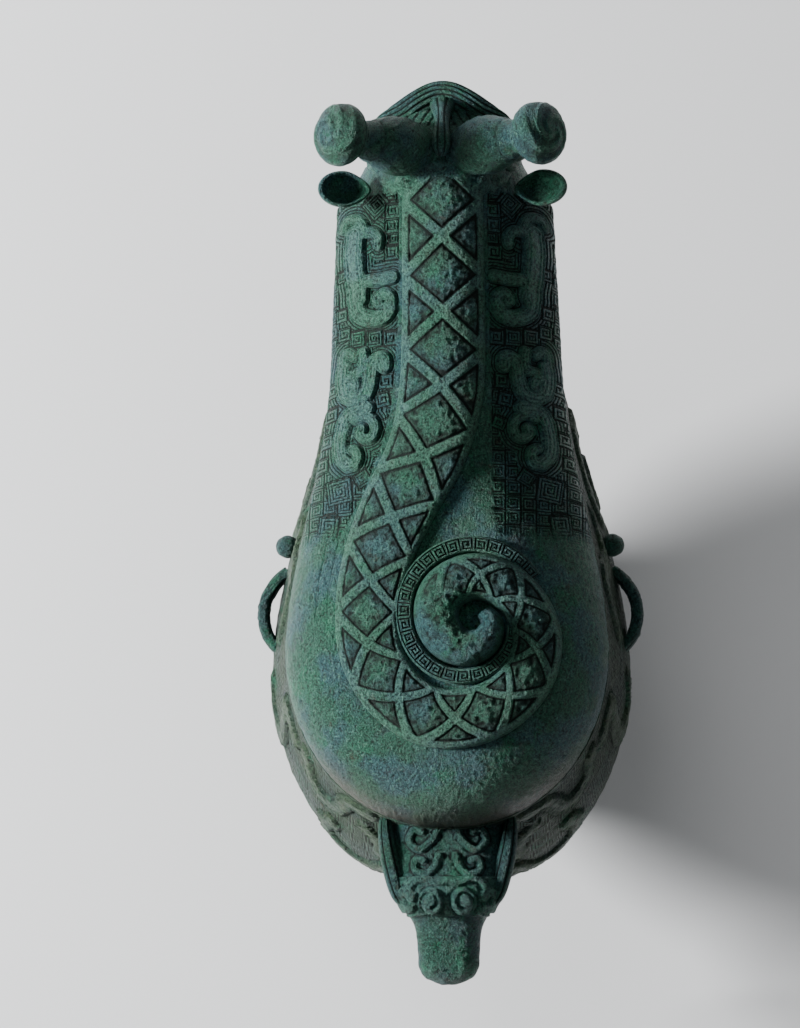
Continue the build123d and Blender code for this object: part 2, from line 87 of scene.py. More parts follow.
def smoothAlong(knots, values, at):
    k, v, t = np.asarray(knots, float), np.asarray(values, float), np.asarray(at, float)
    slope = np.gradient(v, k, axis=0)
    i = np.clip(np.searchsorted(k, t) - 1, 0, len(k) - 2)
    h = k[i + 1] - k[i]
    u = np.clip((t - k[i]) / h, 0, 1)
    if v.ndim > 1:
        u, h = u[:, None], h[:, None]
    a, b = v[i], v[i + 1]
    return ((2 * u**3 - 3 * u**2 + 1) * a + (u**3 - 2 * u**2 + u) * h * slope[i]
            + (3 * u**2 - 2 * u**3) * b + (u**3 - u**2) * h * slope[i + 1])


def flow(values, count):
    # a smooth line of so many places through evenly spaced values
    return smoothAlong(range(len(values)), values, np.linspace(0, len(values) - 1, count))


def ease(u):
    u = np.clip(u, 0, 1)
    return u * u * (3 - 2 * u)


def softStep(value, low, high):
    return ease((value - low) / (high - low))


def seamHeight(x):
    xs, zs = zip(*vesselShape["seam"])
    return smoothAlong(xs, zs, np.ravel(x)).reshape(np.shape(x))


def bell(value, at, width):
    return np.exp(-((value - at) / width) ** 2)


def unit(vectors):
    return vectors / np.maximum(1e-9, np.linalg.norm(vectors, axis=-1, keepdims=True))


def facing(vectors, way):
    # the same vectors, turned round where they point against the way
    return vectors * np.sign(np.sum(vectors * way, axis=-1, keepdims=True) + 1e-12)


def sheetNormals(place, centre):
    return facing(unit(np.cross(np.gradient(place, axis=1), np.gradient(place, axis=0))), place - centre)


def runLength(line):
    return np.concatenate([[0], np.cumsum(np.linalg.norm(np.diff(line, axis=0), axis=1))])


def placed(at, run, line):
    return np.stack([np.interp(at, run, values) for values in line.T], axis=1)


def respace(line, count, dense=None):
    # even places along a line, or most of them between two distances: dense is low, high and how many
    run = runLength(line)
    at = np.linspace(0, run[-1], count)
    if dense:
        low, high = min(dense[0], run[-1] * 0.3), min(dense[1], run[-1] * 0.8)
        few = (count - dense[2]) // 2
        at = np.concatenate([np.linspace(0, low, few, endpoint=False),
                             np.linspace(low, high, dense[2], endpoint=False),
                             np.linspace(high, run[-1], count - few - dense[2])])
    return placed(at, run, line), at


def sideWidth(x, half=vesselShape["lidHalf"], neck=vesselShape["neckHalf"]):
    s = vesselShape
    (taperX, taper), (spoutX, spoutRun, pinch) = s["taper"], s["spout"]
    width = half - (half - neck) * ease((x - s["bellyX"] + 3) / s["neckRun"])
    return width - taper * np.maximum(0, x - taperX) - pinch * ease((x - spoutX) / spoutRun)


def archPower(x):
    s = vesselShape
    return s["domePower"] + (s["neckPower"] - s["domePower"]) * ease((x - s["bellyX"]) / s["shoulderRun"])


def rimAndCrest(x, inset=0):
    s = vesselShape
    return along(s["seam"], x) + s["rimBand"], along(s["crest"], np.maximum(x, s["bellyX"])) - inset


def roofHeight(x, y):
    s, power = vesselShape, archPower(x)
    rear, side = s["rearPower"], np.abs(y) / sideWidth(x)
    deep = np.maximum(0, s["bellyX"] - x) / (s["bellyX"] - s["lidRearX"])
    v = np.minimum(1, np.where(x < s["bellyX"], (deep ** rear + side ** rear) ** (1 / rear), side))
    rim, crest = rimAndCrest(x)
    return rim + (crest - rim) * (1 - v**power) ** (1 / power)


def bothSides(piece, node):
    return (piece + "Left", 1, node + "_left"), (piece + "Right", -1, node + "_right")


def meshFrom(bm, name):
    mesh = bpy.data.meshes.new(name)
    bm.to_mesh(mesh)
    bm.free()
    return mesh


def spots(mesh):
    flat = np.empty(len(mesh.vertices) * 3)
    mesh.vertices.foreach_get("co", flat)
    return flat.reshape(-1, 3)


def paint(mesh, key, values):
    layer = mesh.attributes.new(key, "FLOAT_VECTOR", "POINT")
    layer.data.foreach_set("vector", values.astype(np.float32).ravel())


def wearAndShadeMap(raised, height):
    # what the finishes read: 1 on raised tops, painted pale as rubbed wear and as a painted highlight, and height
    # above or below the skin, painted dark below it as painted shade
    return np.stack([raised, height, np.ones_like(height)], axis=-1)


def closeHoles(bm):
    bmesh.ops.holes_fill(bm, edges=[e for e in bm.edges if e.is_boundary], sides=0)


def finishPiece(name, mesh, body):
    mesh.shade_smooth()
    mesh.set_sharp_from_angle(angle=math.radians(48))
    piece = bpy.data.objects.new(name, mesh)
    bpy.context.scene.collection.objects.link(piece)
    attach(piece, body)
    return piece


def shapedSheet(name, place, facts, body="lid", caps=True):
    # a grid bent to the given places; facts become attributes of its mesh
    rows, cols = place.shape[:2]
    bm = bmesh.new()
    bmesh.ops.create_grid(bm, x_segments=cols - 1, y_segments=rows - 1, size=1)
    mesh = meshFrom(bm, name)
    flat = spots(mesh)
    i, j = (np.rint((flat[:, k] + 1) / 2 * (size - 1)).astype(int) for k, size in ((0, cols), (1, rows)))
    mesh.vertices.foreach_set("co", (place[j, i] * mm).ravel())
    for key, values in facts.items():
        paint(mesh, key, values[j, i])
    bm = bmesh.new()
    bm.from_mesh(mesh)
    bmesh.ops.remove_doubles(bm, verts=bm.verts, dist=3e-6)
    bmesh.ops.dissolve_degenerate(bm, dist=1e-7, edges=bm.edges)
    if caps:
        closeHoles(bm)
    bmesh.ops.recalc_face_normals(bm, faces=bm.faces)
    bm.to_mesh(mesh)
    bm.free()
    return finishPiece(name, mesh, body)


def closedSheet(name, place, under, wearAndShade):
    # a shaped skin and the plain sheet under it, joined into one shell
    facts = {"wearAndShade": np.concatenate([wearAndShade, np.zeros(under.shape), wearAndShade[:, :1]], axis=1)}
    return shapedSheet(name, np.concatenate([place, under, place[:, :1]], axis=1), facts)


# Raised dragons and hooks on the lid's flanks, in plan, for the left side.
flankHooks = {
    # half width of each raised stroke, and its x, y points
    "strokes": [
        (2.4, [(69.1, 20.7), (65.9, 21.0), (62.8, 20.9), (59.7, 20.7), (56.9, 20.2), (54.4, 20.2)]),
        (1.15, [(71.2, 23.6), (72.6, 22.9), (73.0, 21.5), (72.5, 19.8), (71.3, 18.9), (69.7, 18.3)]),
        (1.2, [(69.1, 19.9), (69.2, 18.0), (69.0, 16.4), (67.6, 15.1), (65.9, 15.2)]),
        (1.5, [(58.2, 18.8), (58.0, 15.3), (58.3, 11.8)]),
        (1.9, [(55.3, 20.0), (52.7, 20.4), (50.4, 19.4), (49.2, 16.6), (49.6, 14.0), (51.2, 12.7)]),
        (1.35, [(51.1, 12.5), (53.6, 12.3), (54.7, 13.9), (54.0, 15.0), (52.8, 15.2)]),
        (1.2, [(41.1, 21.3), (42.3, 22.7), (41.6, 23.7), (39.4, 23.8), (37.0, 23.5)]),
        (1.25, [(41.7, 18.9), (39.5, 18.7), (37.5, 19.2), (37.0, 21.3)]),
        (1.75, [(37.9, 13.9), (39.4, 14.1), (39.8, 15.3), (38.4, 16.8), (34.6, 17.3), (31.9, 18.3), (30.9, 20.4),
                (31.9, 23.0), (35.2, 24.0), (38.6, 23.6)]),
        (1.3, [(36.3, 23.7), (35.3, 21.3), (33.8, 20.8)]),
        (1.75, [(28.3, 18.0), (28.1, 21.3), (26.4, 23.2), (23.6, 24.1), (20.0, 24.5), (16.9, 24.1), (15.2, 22.7)]),
        (1.3, [(14.9, 22.4), (15.1, 20.9), (16.6, 20.2), (18.3, 20.6), (18.8, 21.5)]),
        (1.25, [(26.2, 21.0), (26.7, 18.9), (25.7, 16.9), (23.6, 16.1), (21.6, 16.6), (21.0, 18.2), (22.2, 19.7),
                (23.7, 19.4)]),
    ],
    "rise": 0.82, "outline": 0.42, "inner": 0.5, "deep": 0.3,
    # square spirals between the figures: x, y, side, turn in degrees
    "squares": [(75.2, 15.6, 5.4, 38), (73.4, 11.7, 3.4, 0), (63.9, 12.0, 3.6, 0), (60.5, 24.0, 2.8, 0),
                (66.0, 17.6, 3.2, 20), (45.2, 20.6, 4.0, 0), (44.7, 16.4, 4.0, 0), (44.4, 12.4, 3.6, 0),
                (34.4, 13.6, 3.6, 0), (30.2, 14.4, 3.6, 10), (24.4, 12.9, 3.2, 20), (47.0, 23.8, 3.2, 0),
                (51.6, 24.4, 3.0, 0), (11.6, 19.2, 3.8, 30), (9.1, 24.7, 6.2, 8), (0.8, 27.2, 5.0, -6),
                (22.4, 28.4, 3.6, 0), (16.6, 29.4, 3.6, 0), (28.6, 27.2, 3.6, 0), (34.4, 27.0, 3.6, 0),
                (70.0, 11.9, 3.4, 0), (67.0, 11.6, 2.6, 0)],
}

# Inner edge of the flanks' ornament, beside the dragon's body: x, then distance from the middle. True is left.
flankEdge = {
    True: ([-40, -30, -15, -1, 7.5, 20, 28, 37, 46, 57, 90],
           [26, 26.6, 26.4, 23.4, 18.6, 13.9, 12.0, 11.0, 10.4, 10.0, 9.6]),
    False: ([-30, 0, 10, 30, 90], [14.0, 11.5, 11.0, 10.6, 9.6]),
}


def strokeDepth(x, y, strokes):
    # how far inside a raised stroke each place is: 0 on its edge, positive inside
    best = np.full(np.shape(x), -9.0)
    for half, points in strokes:
        fine = flow(points, 6 * len(points))
        for (ax, ay), (bx, by) in zip(fine, fine[1:]):
            dx, dy = bx - ax, by - ay
            share = np.clip(((x - ax) * dx + (y - ay) * dy) / (dx * dx + dy * dy + 1e-9), 0, 1)
            best = np.maximum(best, half - np.hypot(x - ax - share * dx, y - ay - share * dy))
    return best


def hookRelief(depth, style):
    # flat on top, with a double incised line inside its edge
    body = style["rise"] * softStep(depth, -0.12, 0.22)
    incised = -style["deep"] * (bell(depth, style["inner"], 0.16) + 0.7 * bell(depth, 1.25, 0.15))
    return body + incised - style["outline"] * bell(depth, -0.3, 0.17)


def scrollRelief(depth, rise, cut):
    return rise * softStep(depth, -0.2, 0.25) - cut * bell(depth, -0.4, 0.25)


def roughness(x, y, size, seed=1.0):
    # gentle uneven swell of a corroded skin, from -1 to 1
    total = 0
    for k in range(9):
        way, pace = 2.4 * k + seed, 2 * pi / size * (0.55 + 0.17 * k)
        bend = 0.9 * np.sin((x * math.sin(way) - y * math.cos(way)) * pace * 0.37 + 1.7 * k)
        total = total + np.sin((x * math.cos(way) + y * math.sin(way)) * pace + bend + 2.1 * k * seed)
    return total / 4.2


def threadWave(phase):
    # 1 on each thread and 0 in the groove beside it
    return softStep(np.abs(np.mod(phase, 1) - 0.5) * 2, 0.2, 0.5)


def squareSpiral(u, v, turns):
    # one spiral, for u and v between -0.5 and 0.5
    quarter = np.where(np.abs(u) > np.abs(v), np.where(u < 0, 0.5, 0), np.where(v < 0, 0.75, 0.25))
    return threadWave(np.maximum(np.abs(u), np.abs(v)) * 2 * turns + quarter)


def groundThread(x, y, depth):
    # threads side by side round the figures, a loose grid of spirals farther off, and the placed spirals
    cell = 3.6
    flip = np.where(np.mod(np.floor(x / cell) + np.floor(y / cell), 2) == 0, 1, -1)
    u, v = (np.mod(x / cell, 1) - 0.5) * flip, np.mod(y / cell, 1) - 0.5
    loose = squareSpiral(u, v, 2.5) * (np.maximum(np.abs(u), np.abs(v)) < 0.47)
    thread = np.where(depth < -2.4, loose, threadWave(-depth / 0.74 + 0.28))
    free = depth < -0.35
    for cx, cy, side, turn in flankHooks["squares"]:
        c, s = math.cos(math.radians(turn)), math.sin(math.radians(turn))
        u, v = ((x - cx) * c + (y - cy) * s) / side, ((y - cy) * c - (x - cx) * s) / side
        reach = np.maximum(np.abs(u), np.abs(v))
        thread = np.where((reach < 0.5) & free, squareSpiral(u, v, max(2, round(side / 1.45))), thread)
        thread = np.where((np.abs(reach - 0.5) * side < 0.16) & free, 0.0, thread)
    return thread


def flankRelief(x, y, run, left):
    # run is the distance up from the lid's edge; returns height, skin, groove mask and depth in a figure
    y = np.abs(y)
    depth = strokeDepth(x, y, flankHooks["strokes"])
    across = y - np.interp(x, *flankEdge[left])
    panel = softStep(run, 3.4, 3.7) * softStep(across, 0.2, 0.7) * softStep(x, -6, 3) * softStep(78 - x, 0, 0.8)
    rim = -0.35 * bell(run, 3.2, 0.24) - 0.2 * bell(run, 1.3, 0.2)
    groove = panel * (1 - softStep(depth, -0.62, -0.4)) * (1 - groundThread(x, y, depth))
    height = hookRelief(depth, flankHooks) * panel - 0.34 * groove
    # incised triangles beside the dragon's body, where the flank widens to the dome
    tooth = np.abs(np.mod(x / 3.6, 1) - 0.5) * 2
    strip = softStep(9.5 - x, 0, 1.5) * softStep(x, -23, -20) * (across > 0.5) * (across < 4.2) * float(left)
    cut = bell(across, tooth * 2.3 + 1.1, 0.22) + bell(across, 0.9, 0.18) + bell(across, 3.7, 0.18)
    height = height - 0.24 * np.minimum(cut, 1) * strip * (1 - panel)
    skin = 0.07 * roughness(x, y, 2.2) * (1 - 0.7 * panel) + 0.1 * roughness(x, y, 11.0, 2.3)
    return height + rim, skin, groove, depth


print("stage: relief rules")


# Steps between sections, and places along each; dense is where most places go, for the left and right flank.
lidShape = {"step": 0.21, "looseStep": 0.5, "backStep": 0.3, "backArc": 128, "ornament": (78.4, -5.6),
            "flankCount": 172, "domeCount": 176, "innerCount": 12,
            "dense": {1: (2.6, 31.0, 138), -1: (2.6, 39.0, 146)}}


def lidProfile(kind, where, inset, count, dense=None):
    # one section, from the lower edge to the crest: across the neck at x on side 1 or -1,
    # or for kind 0 outwards over the dome at an angle
    s = vesselShape
    turn = np.linspace(0, pi / 2, 500)
    c, n = np.clip(np.cos(turn), 0, 1), np.clip(np.sin(turn), 0, 1)
    power = archPower(where) if kind else s["domePower"]
    v = c ** (2 / power)
    if kind:
        x, y = np.full(len(turn), where), kind * (sideWidth(where) - inset) * v
    else:
        share, bend = 2 / s["rearPower"], math.cos(where)
        reach, half = s["bellyX"] - s["lidRearX"] - inset, sideWidth(s["bellyX"]) - inset
        x = s["bellyX"] - v * (reach * abs(math.sin(where)) ** share)
        y = v * (half * math.copysign(abs(bend) ** share, bend))
    rim, crest = rimAndCrest(x, inset)
    arch = np.stack([x, y, rim + (crest - rim) * n ** (2 / power)], axis=1)
    start = arch[:1].copy()
    start[0, 2] = seamHeight(start[0, 0]) + s["seamGap"]
    return respace(np.concatenate([start, arch]), count, dense)


def lidSlab(name, kind, places, count):
    dense, wall = lidShape["dense"].get(kind), vesselShape["lidWall"]
    outer, runs = (np.array(v) for v in zip(*[lidProfile(kind, at, 0, count, dense) for at in places]))
    inner = np.array([lidProfile(kind, at, wall, lidShape["innerCount"])[0][::-1] for at in places])
    height, skin, groove, depth = flankRelief(outer[..., 0], outer[..., 1], runs, kind >= 0)
    normal = sheetNormals(outer, [outer[..., 0].mean(), 0, 60.0])
    # figures give the pale of rubbed wear and painted highlight; grooves give painted shade
    wearAndShade = wearAndShadeMap(softStep(depth, -0.2, 0.5), np.minimum(height + 0.06, 0.4) - 0.14 * groove)
    return closedSheet(name, outer + normal * (height + skin)[..., None], inner, wearAndShade)


def makeLid():
    s, (front, back) = lidShape, lidShape["ornament"]
    bellyX, loose = vesselShape["bellyX"], lidShape["looseStep"]
    stations = np.concatenate([np.arange(vesselShape["lidFrontX"], front, -loose),
                               np.arange(front, back, -s["step"]),
                               np.linspace(back, bellyX, int((back - bellyX) / loose))])
    turns = np.linspace(0, pi, int(s["backArc"] / s["backStep"]))
    pieces = [lidSlab("lidFlankLeft", 1, stations, s["flankCount"]),
              lidSlab("lidFlankRight", -1, stations, s["flankCount"]),
              lidSlab("lidDome", 0, turns, s["domeCount"])]
    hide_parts("lid_shell")
    print("stage: lid", [len(p.data.polygons) for p in pieces])
    for piece in pieces:
        dress(piece, "lid")


def latticeRelief(phase, w, half, pitch, edge):
    # diamonds down the middle with triangles at both borders, divided by flat bars
    b = dragonBody
    slope = np.hypot(1 / pitch, 1 / (2 * half))
    d = np.minimum(*[np.abs(np.mod(phase + sign * w / (2 * half), 1) - 0.5) / slope for sign in (1, -1)])
    size = np.clip(half / 9.4, 0.35, 1)
    bar = b["barHalf"] * size
    groove = bell(d, bar + 0.26, b["grooveHalf"] * np.maximum(size, 0.7))
    panel = softStep(d, bar, bar + 0.8)
    inBorder = softStep(edge, b["border"] - 0.25, b["border"] + 0.1)
    height = inBorder * (-b["grooveDepth"] * groove * (0.5 + 0.5 * size) - 0.1 * panel)
    height = height - 0.45 * bell(edge, b["border"], 0.24) * panel
    pillow = 0.25 * inBorder * softStep(d, bar + 0.8, bar + 3.6)
    return height + pillow, panel * inBorder, groove * inBorder


def roofStrip(line, w, lift):
    # places across a line on the lid's roof, for shares w of its half width
    way, half = unit(np.gradient(line[:, :2], axis=0)), line[:, 2:3]
    x, y = line[:, :1] - way[:, 1:] * half * w, line[:, 1:2] + way[:, :1] * half * w
    return np.stack([x, y, roofHeight(x, y) + lift], axis=2)


def dragonStrip(name, span, line, at, phase, cols, node):
    line, at, phase = line[span], at[span, None], phase[span, None]
    w = np.sin(np.linspace(-pi / 2, pi / 2, cols)) * 0.35 + np.linspace(-1, 1, cols) * 0.65
    half, rise = line[:, 2:3], line[:, 3:4]
    squareness = 3.0 - 0.6 * softStep(at, 180, 260)
    place = roofStrip(line, w, rise * np.clip(1 - np.abs(w) ** squareness, 0, 1) ** (1 / squareness) - 0.25)
    x, y, edge = place[..., 0], place[..., 1], half * (1 - np.abs(w))
    height, panel, groove = latticeRelief(phase, w * half, half, along(dragonBody["pitchAlong"], at), edge)
    fade = 1 - 0.94 * softStep(at, 192, 212)     # the coil's tip is plain
    skin = (0.13 * panel + 0.05) * roughness(x, y, 2.6, 3.1) + 0.16 * (1 - fade) * roughness(x, y, 4.2, 1.7)
    relief = height * fade + skin * softStep(edge, 0, 1.2)
    shaped = place + sheetNormals(place, place - [0, 0, 1]) * relief[..., None]
    # bars and borders get the pale of rubbed wear and painted highlight; sunk panels and grooves get painted shade
    wearAndShade = wearAndShadeMap((1 - panel * 0.8) * fade - groove, height * fade + 0.8 * np.minimum(skin, 0) - 0.05 * panel)
    under = w[::-1][:: max(1, cols // 9)] * 0.97
    piece = closedSheet(name, shaped, roofStrip(line, under, -1.1), wearAndShade)
    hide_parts(node)
    return dress(piece, "plain")


def makeDragonBody():
    route = np.array(dragonBody["route"], float)
    knots = runLength(route[:, :2])
    fine = smoothAlong(knots, route, np.linspace(0, knots[-1], 3000))
    run = runLength(fine[:, :2])
    at = np.arange(0, run[-1], dragonBody["step"])
    line, pitch = placed(at, run, fine), along(dragonBody["pitchAlong"], at)
    phase = np.concatenate([[0], np.cumsum(np.diff(at) / pitch[1:])])
    phase = phase - np.interp(26.1, at, phase)     # a diamond sits at x = 57.9
    cut = int(np.searchsorted(at, knots[dragonBody["coilStart"]]))
    back = dragonStrip("dragonBack", slice(0, cut + 1), line, at, phase, 88, "dragon_back")
    coil = dragonStrip("dragonCoil", slice(cut, None), line, at, phase, 72, "dragon_coil")
    print("stage: dragon body", len(back.data.polygons), len(coil.data.polygons))


# Corroded bronze: linear colours of each layer of the crust; pale also paints highlights on raised tops and glints,
# and dark also paints shade in hollows, grooves and pits.
bronzeFinish = {
    "lid": {"green": (0.030, 0.118, 0.078), "blue": (0.036, 0.108, 0.118), "pale": (0.115, 0.270, 0.190),
            "dark": (0.003, 0.008, 0.006), "earth": (0.050, 0.034, 0.019), "metal": 0.25},
    "body": {"green": (0.040, 0.086, 0.048), "blue": (0.038, 0.084, 0.066), "pale": (0.100, 0.142, 0.082),
             "dark": (0.008, 0.012, 0.007), "earth": (0.095, 0.072, 0.038), "metal": 0.15},
    "beast": {"green": (0.020, 0.086, 0.060), "blue": (0.026, 0.078, 0.080), "pale": (0.080, 0.210, 0.155),
              "dark": (0.003, 0.007, 0.007), "earth": (0.045, 0.036, 0.020), "metal": 0.25},
    "clay": {"green": (0.20, 0.125, 0.08), "blue": (0.17, 0.11, 0.07), "pale": (0.30, 0.21, 0.14),
             "dark": (0.05, 0.03, 0.02), "earth": (0.14, 0.09, 0.055), "metal": 0.0},
}
bellyThread = {"Pitch": 4.2, "Turns": 2.6}
# scale, detail and roughness of the patches, mottle, grain (whose pale specks are painted glints), crust, tint and
# rust
crustNoise = [(0.075, 5.0, 0.6), (0.6, 6.0, 0.72), (2.4, 4.0, 0.7), (1.3, 5.0, 0.75), (0.13, 8.0, 0.72),
              (0.22, 8.0, 0.78)]


def addNode(tree, kind, **values):
    made = tree.nodes.new(kind)
    for key, value in values.items():
        setattr(made, key, value)
    return made


def feed(tree, socket, value):
    if isinstance(value, bpy.types.NodeSocket):
        tree.links.new(value, socket)
    else:
        socket.default_value = value


def calc(tree, operation, *inputs):
    made = addNode(tree, "ShaderNodeMath", operation=operation)
    for socket, value in zip(made.inputs, inputs):
        feed(tree, socket, value)
    return made.outputs[0]


def ramp(tree, value, low, high, start=0.0, end=1.0):
    made = addNode(tree, "ShaderNodeMapRange", interpolation_type="SMOOTHSTEP")
    for socket, number in zip(made.inputs, (value, low, high, start, end)):
        feed(tree, socket, number)
    return made.outputs[0]


def blend(tree, amount, first, second, kind="MIX"):
    made = addNode(tree, "ShaderNodeMix", data_type="RGBA", blend_type=kind)
    feed(tree, made.inputs[0], amount)
    feed(tree, made.inputs[6], first)
    feed(tree, made.inputs[7], second)
    return made.outputs[2]


def noise(tree, vector, scale, detail=3.0, rough=0.55):
    made = addNode(tree, "ShaderNodeTexNoise")
    feed(tree, made.inputs["Vector"], vector)
    made.inputs["Scale"].default_value = scale
    made.inputs["Detail"].default_value = detail
    made.inputs["Roughness"].default_value = rough
    return made.outputs[0]


def splitVector(tree, vector):
    parts = addNode(tree, "ShaderNodeSeparateXYZ")
    tree.links.new(vector, parts.inputs[0])
    return parts.outputs


def openGroup(name, inputs, outputs):
    tree = bpy.data.node_groups.new(name, "ShaderNodeTree")
    for labels, way in ((inputs, "INPUT"), (outputs, "OUTPUT")):
        for label, kind in labels.items():
            tree.interface.new_socket(label, in_out=way, socket_type="NodeSocket" + kind)
    return tree, addNode(tree, "NodeGroupInput").outputs, addNode(tree, "NodeGroupOutput").inputs


def meanderGroup():
    # square spirals in rows: 1 on the thread, 0 in the groove
    tree, given, out = openGroup("meander", {"Vector": "Vector", "Pitch": "Float", "Turns": "Float"},
                                 {"Thread": "Float"})
    do = partial(calc, tree)
    parts = splitVector(tree, given["Vector"])
    u, v = (do("DIVIDE", parts[k], given["Pitch"]) for k in (0, 1))
    cell = do("ADD", do("FLOOR", u), do("FLOOR", v))
    flip = do("SUBTRACT", 1.0, do("MULTIPLY", do("FRACT", do("MULTIPLY", cell, 0.5)), 4.0))
    fu = do("MULTIPLY", do("SUBTRACT", do("FRACT", u), 0.5), flip)
    fv = do("SUBTRACT", do("FRACT", v), 0.5)
    au, av = do("ABSOLUTE", fu), do("ABSOLUTE", fv)
    sideU = do("MULTIPLY", do("LESS_THAN", fu, 0.0), 0.5)
    sideV = do("ADD", do("MULTIPLY", do("LESS_THAN", fv, 0.0), 0.5), 0.25)
    quarter = do("ADD", sideV, do("MULTIPLY", do("GREATER_THAN", au, av), do("SUBTRACT", sideU, sideV)))
    winding = do("MULTIPLY", do("MULTIPLY", do("MAXIMUM", au, av), 2.0), given["Turns"])
    band = do("FRACT", do("ADD", winding, quarter))
    wave = do("MULTIPLY", do("ABSOLUTE", do("SUBTRACT", band, 0.5)), 2.0)
    tree.links.new(ramp(tree, wave, 0.22, 0.58), out["Thread"])
    return tree


def patinaGroup():
    colours = ("Green", "Blue", "Pale", "Dark", "Earth")
    masks = ("Height", "Raised", "Ground", "Thread", "Earth Amount")
    inputs = {"Vector": "Vector", **dict.fromkeys(masks, "Float"), **dict.fromkeys(colours, "Color")}
    tree, given, out = openGroup("bronzePatina", inputs,
                                 {"Color": "Color", "Roughness": "Float", "Surface": "Float"})
    do, step = partial(calc, tree), partial(ramp, tree)
    green, blue, pale, dark, earth = (given[label] for label in colours)
    inMm = addNode(tree, "ShaderNodeVectorMath", operation="SCALE")
    tree.links.new(given["Vector"], inMm.inputs[0])
    inMm.inputs[3].default_value = 1000
    spot = inMm.outputs[0]
    patches, mottle, grainAndGlint, crust, tint, rust = (
        noise(tree, spot, *rule) for rule in crustNoise)
    pits = addNode(tree, "ShaderNodeTexVoronoi", feature="F1")
    tree.links.new(spot, pits.inputs["Vector"])
    pits.inputs["Scale"].default_value = 0.55
    pits.inputs["Randomness"].default_value = 1.0
    pit = do("MULTIPLY", step(pits.outputs["Distance"], 0.26, 0.14), step(mottle, 0.5, 0.62))
    groove = do("MULTIPLY", given["Ground"], do("SUBTRACT", 1.0, given["Thread"]))
    # hollows below the skin, grooves and pits are darkened: painted shade
    hollowShade = step(given["Height"], 0.0, -0.30, 0.0, 0.94)
    paintedShade = do("MAXIMUM", do("MAXIMUM", hollowShade, do("MULTIPLY", groove, 0.85)), do("MULTIPLY", pit, 0.85))
    colour = green
    for amount, layer in (
            (step(patches, 0.44, 0.58), blue),
            (step(tint, 0.56, 0.68, 0.0, 0.6), (0.050, 0.062, 0.085, 1)),
            (step(tint, 0.46, 0.36, 0.0, 0.7), (0.018, 0.150, 0.080, 1)),
            (step(mottle, 0.54, 0.70, 0.0, 0.6), pale),
            # raised tops: pale as rubbed wear and as a painted highlight
            (do("MULTIPLY", given["Raised"], step(crust, 0.36, 0.66, 0.04, 0.5)), pale),
            # pale specks of the grain: painted glints
            (step(grainAndGlint, 0.54, 0.70, 0.0, 0.5), pale),
            (step(rust, 0.56, 0.70, 0.0, 0.75), earth),
            (step(crust, 0.50, 0.36, 0.0, 0.8), dark),
            # painted shade: dark in hollows, grooves and pits
            (paintedShade, dark),
            (do("MULTIPLY", given["Earth Amount"], step(crust, 0.36, 0.62, 0.35, 1.0)), earth)):
        colour = blend(tree, amount, colour, layer)
    colour = blend(tree, step(grainAndGlint, 0.32, 0.56, 0.75, 0.0), colour, dark, "MULTIPLY")
    tree.links.new(colour, out["Color"])
    rough = do("ADD", step(mottle, 0.35, 0.7, 0.34, 0.55), do("MULTIPLY", paintedShade, 0.25))
    tree.links.new(rough, out["Roughness"])
    surface = do("ADD", do("MULTIPLY", mottle, 0.7), do("MULTIPLY", crust, 0.7))
    for operation, layer, share in (("ADD", grainAndGlint, 0.22), ("SUBTRACT", pit, 0.22), ("SUBTRACT", groove, 0.24)):
        surface = do(operation, surface, do("MULTIPLY", layer, share))
    tree.links.new(surface, out["Surface"])
    return tree


shared = {"meander": meanderGroup(), "patina": patinaGroup()}


def bronzeLook(name, finish, earth=None, thread=None):
    # earth is axis, clear end and covered end for each ramp of soil; thread is the meander's pitch and turns
    look = bpy.data.materials.new(name)
    look.use_nodes = True
    tree = look.node_tree
    join, shader = tree.links.new, tree.nodes["Principled BSDF"]
    shader.inputs["Metallic"].default_value = bronzeFinish[finish]["metal"]
    shader.inputs["Specular IOR Level"].default_value = 0.32
    place = addNode(tree, "ShaderNodeTexCoord").outputs["Object"]
    # raised tops and height: rubbed wear with painted highlight, and painted shade in hollows
    wearAndShade = splitVector(tree, addNode(tree, "ShaderNodeAttribute", attribute_name="wearAndShade").outputs["Vector"])
    patina = addNode(tree, "ShaderNodeGroup", node_tree=shared["patina"])
    for label, source in (("Vector", place), ("Raised", wearAndShade[0]), ("Height", wearAndShade[1])):
        join(source, patina.inputs[label])
    for label in ("Green", "Blue", "Pale", "Dark", "Earth"):
        patina.inputs[label].default_value = (*bronzeFinish[finish][label.lower()], 1)
    if thread:
        track = addNode(tree, "ShaderNodeAttribute", attribute_name="track").outputs["Vector"]
        squares = addNode(tree, "ShaderNodeGroup", node_tree=shared["meander"])
        join(track, squares.inputs["Vector"])
        for label, value in thread.items():
            squares.inputs[label].default_value = value
        join(squares.outputs["Thread"], patina.inputs["Thread"])
        join(splitVector(tree, track)[2], patina.inputs["Ground"])
    if earth:
        parts = splitVector(tree, place)
        shares = [ramp(tree, parts[axis], low * mm, high * mm) for axis, low, high in earth]
        amount = shares[0] if len(shares) == 1 else calc(tree, "MULTIPLY", *shares)
        join(amount, patina.inputs["Earth Amount"])
    join(patina.outputs["Color"], shader.inputs["Base Color"])
    join(patina.outputs["Roughness"], shader.inputs["Roughness"])
    bump = addNode(tree, "ShaderNodeBump")
    bump.inputs["Strength"].default_value = 1.0
    bump.inputs["Distance"].default_value = 1.7 * mm
    join(patina.outputs["Surface"], bump.inputs["Height"])
    join(bump.outputs["Normal"], shader.inputs["Normal"])
    return look


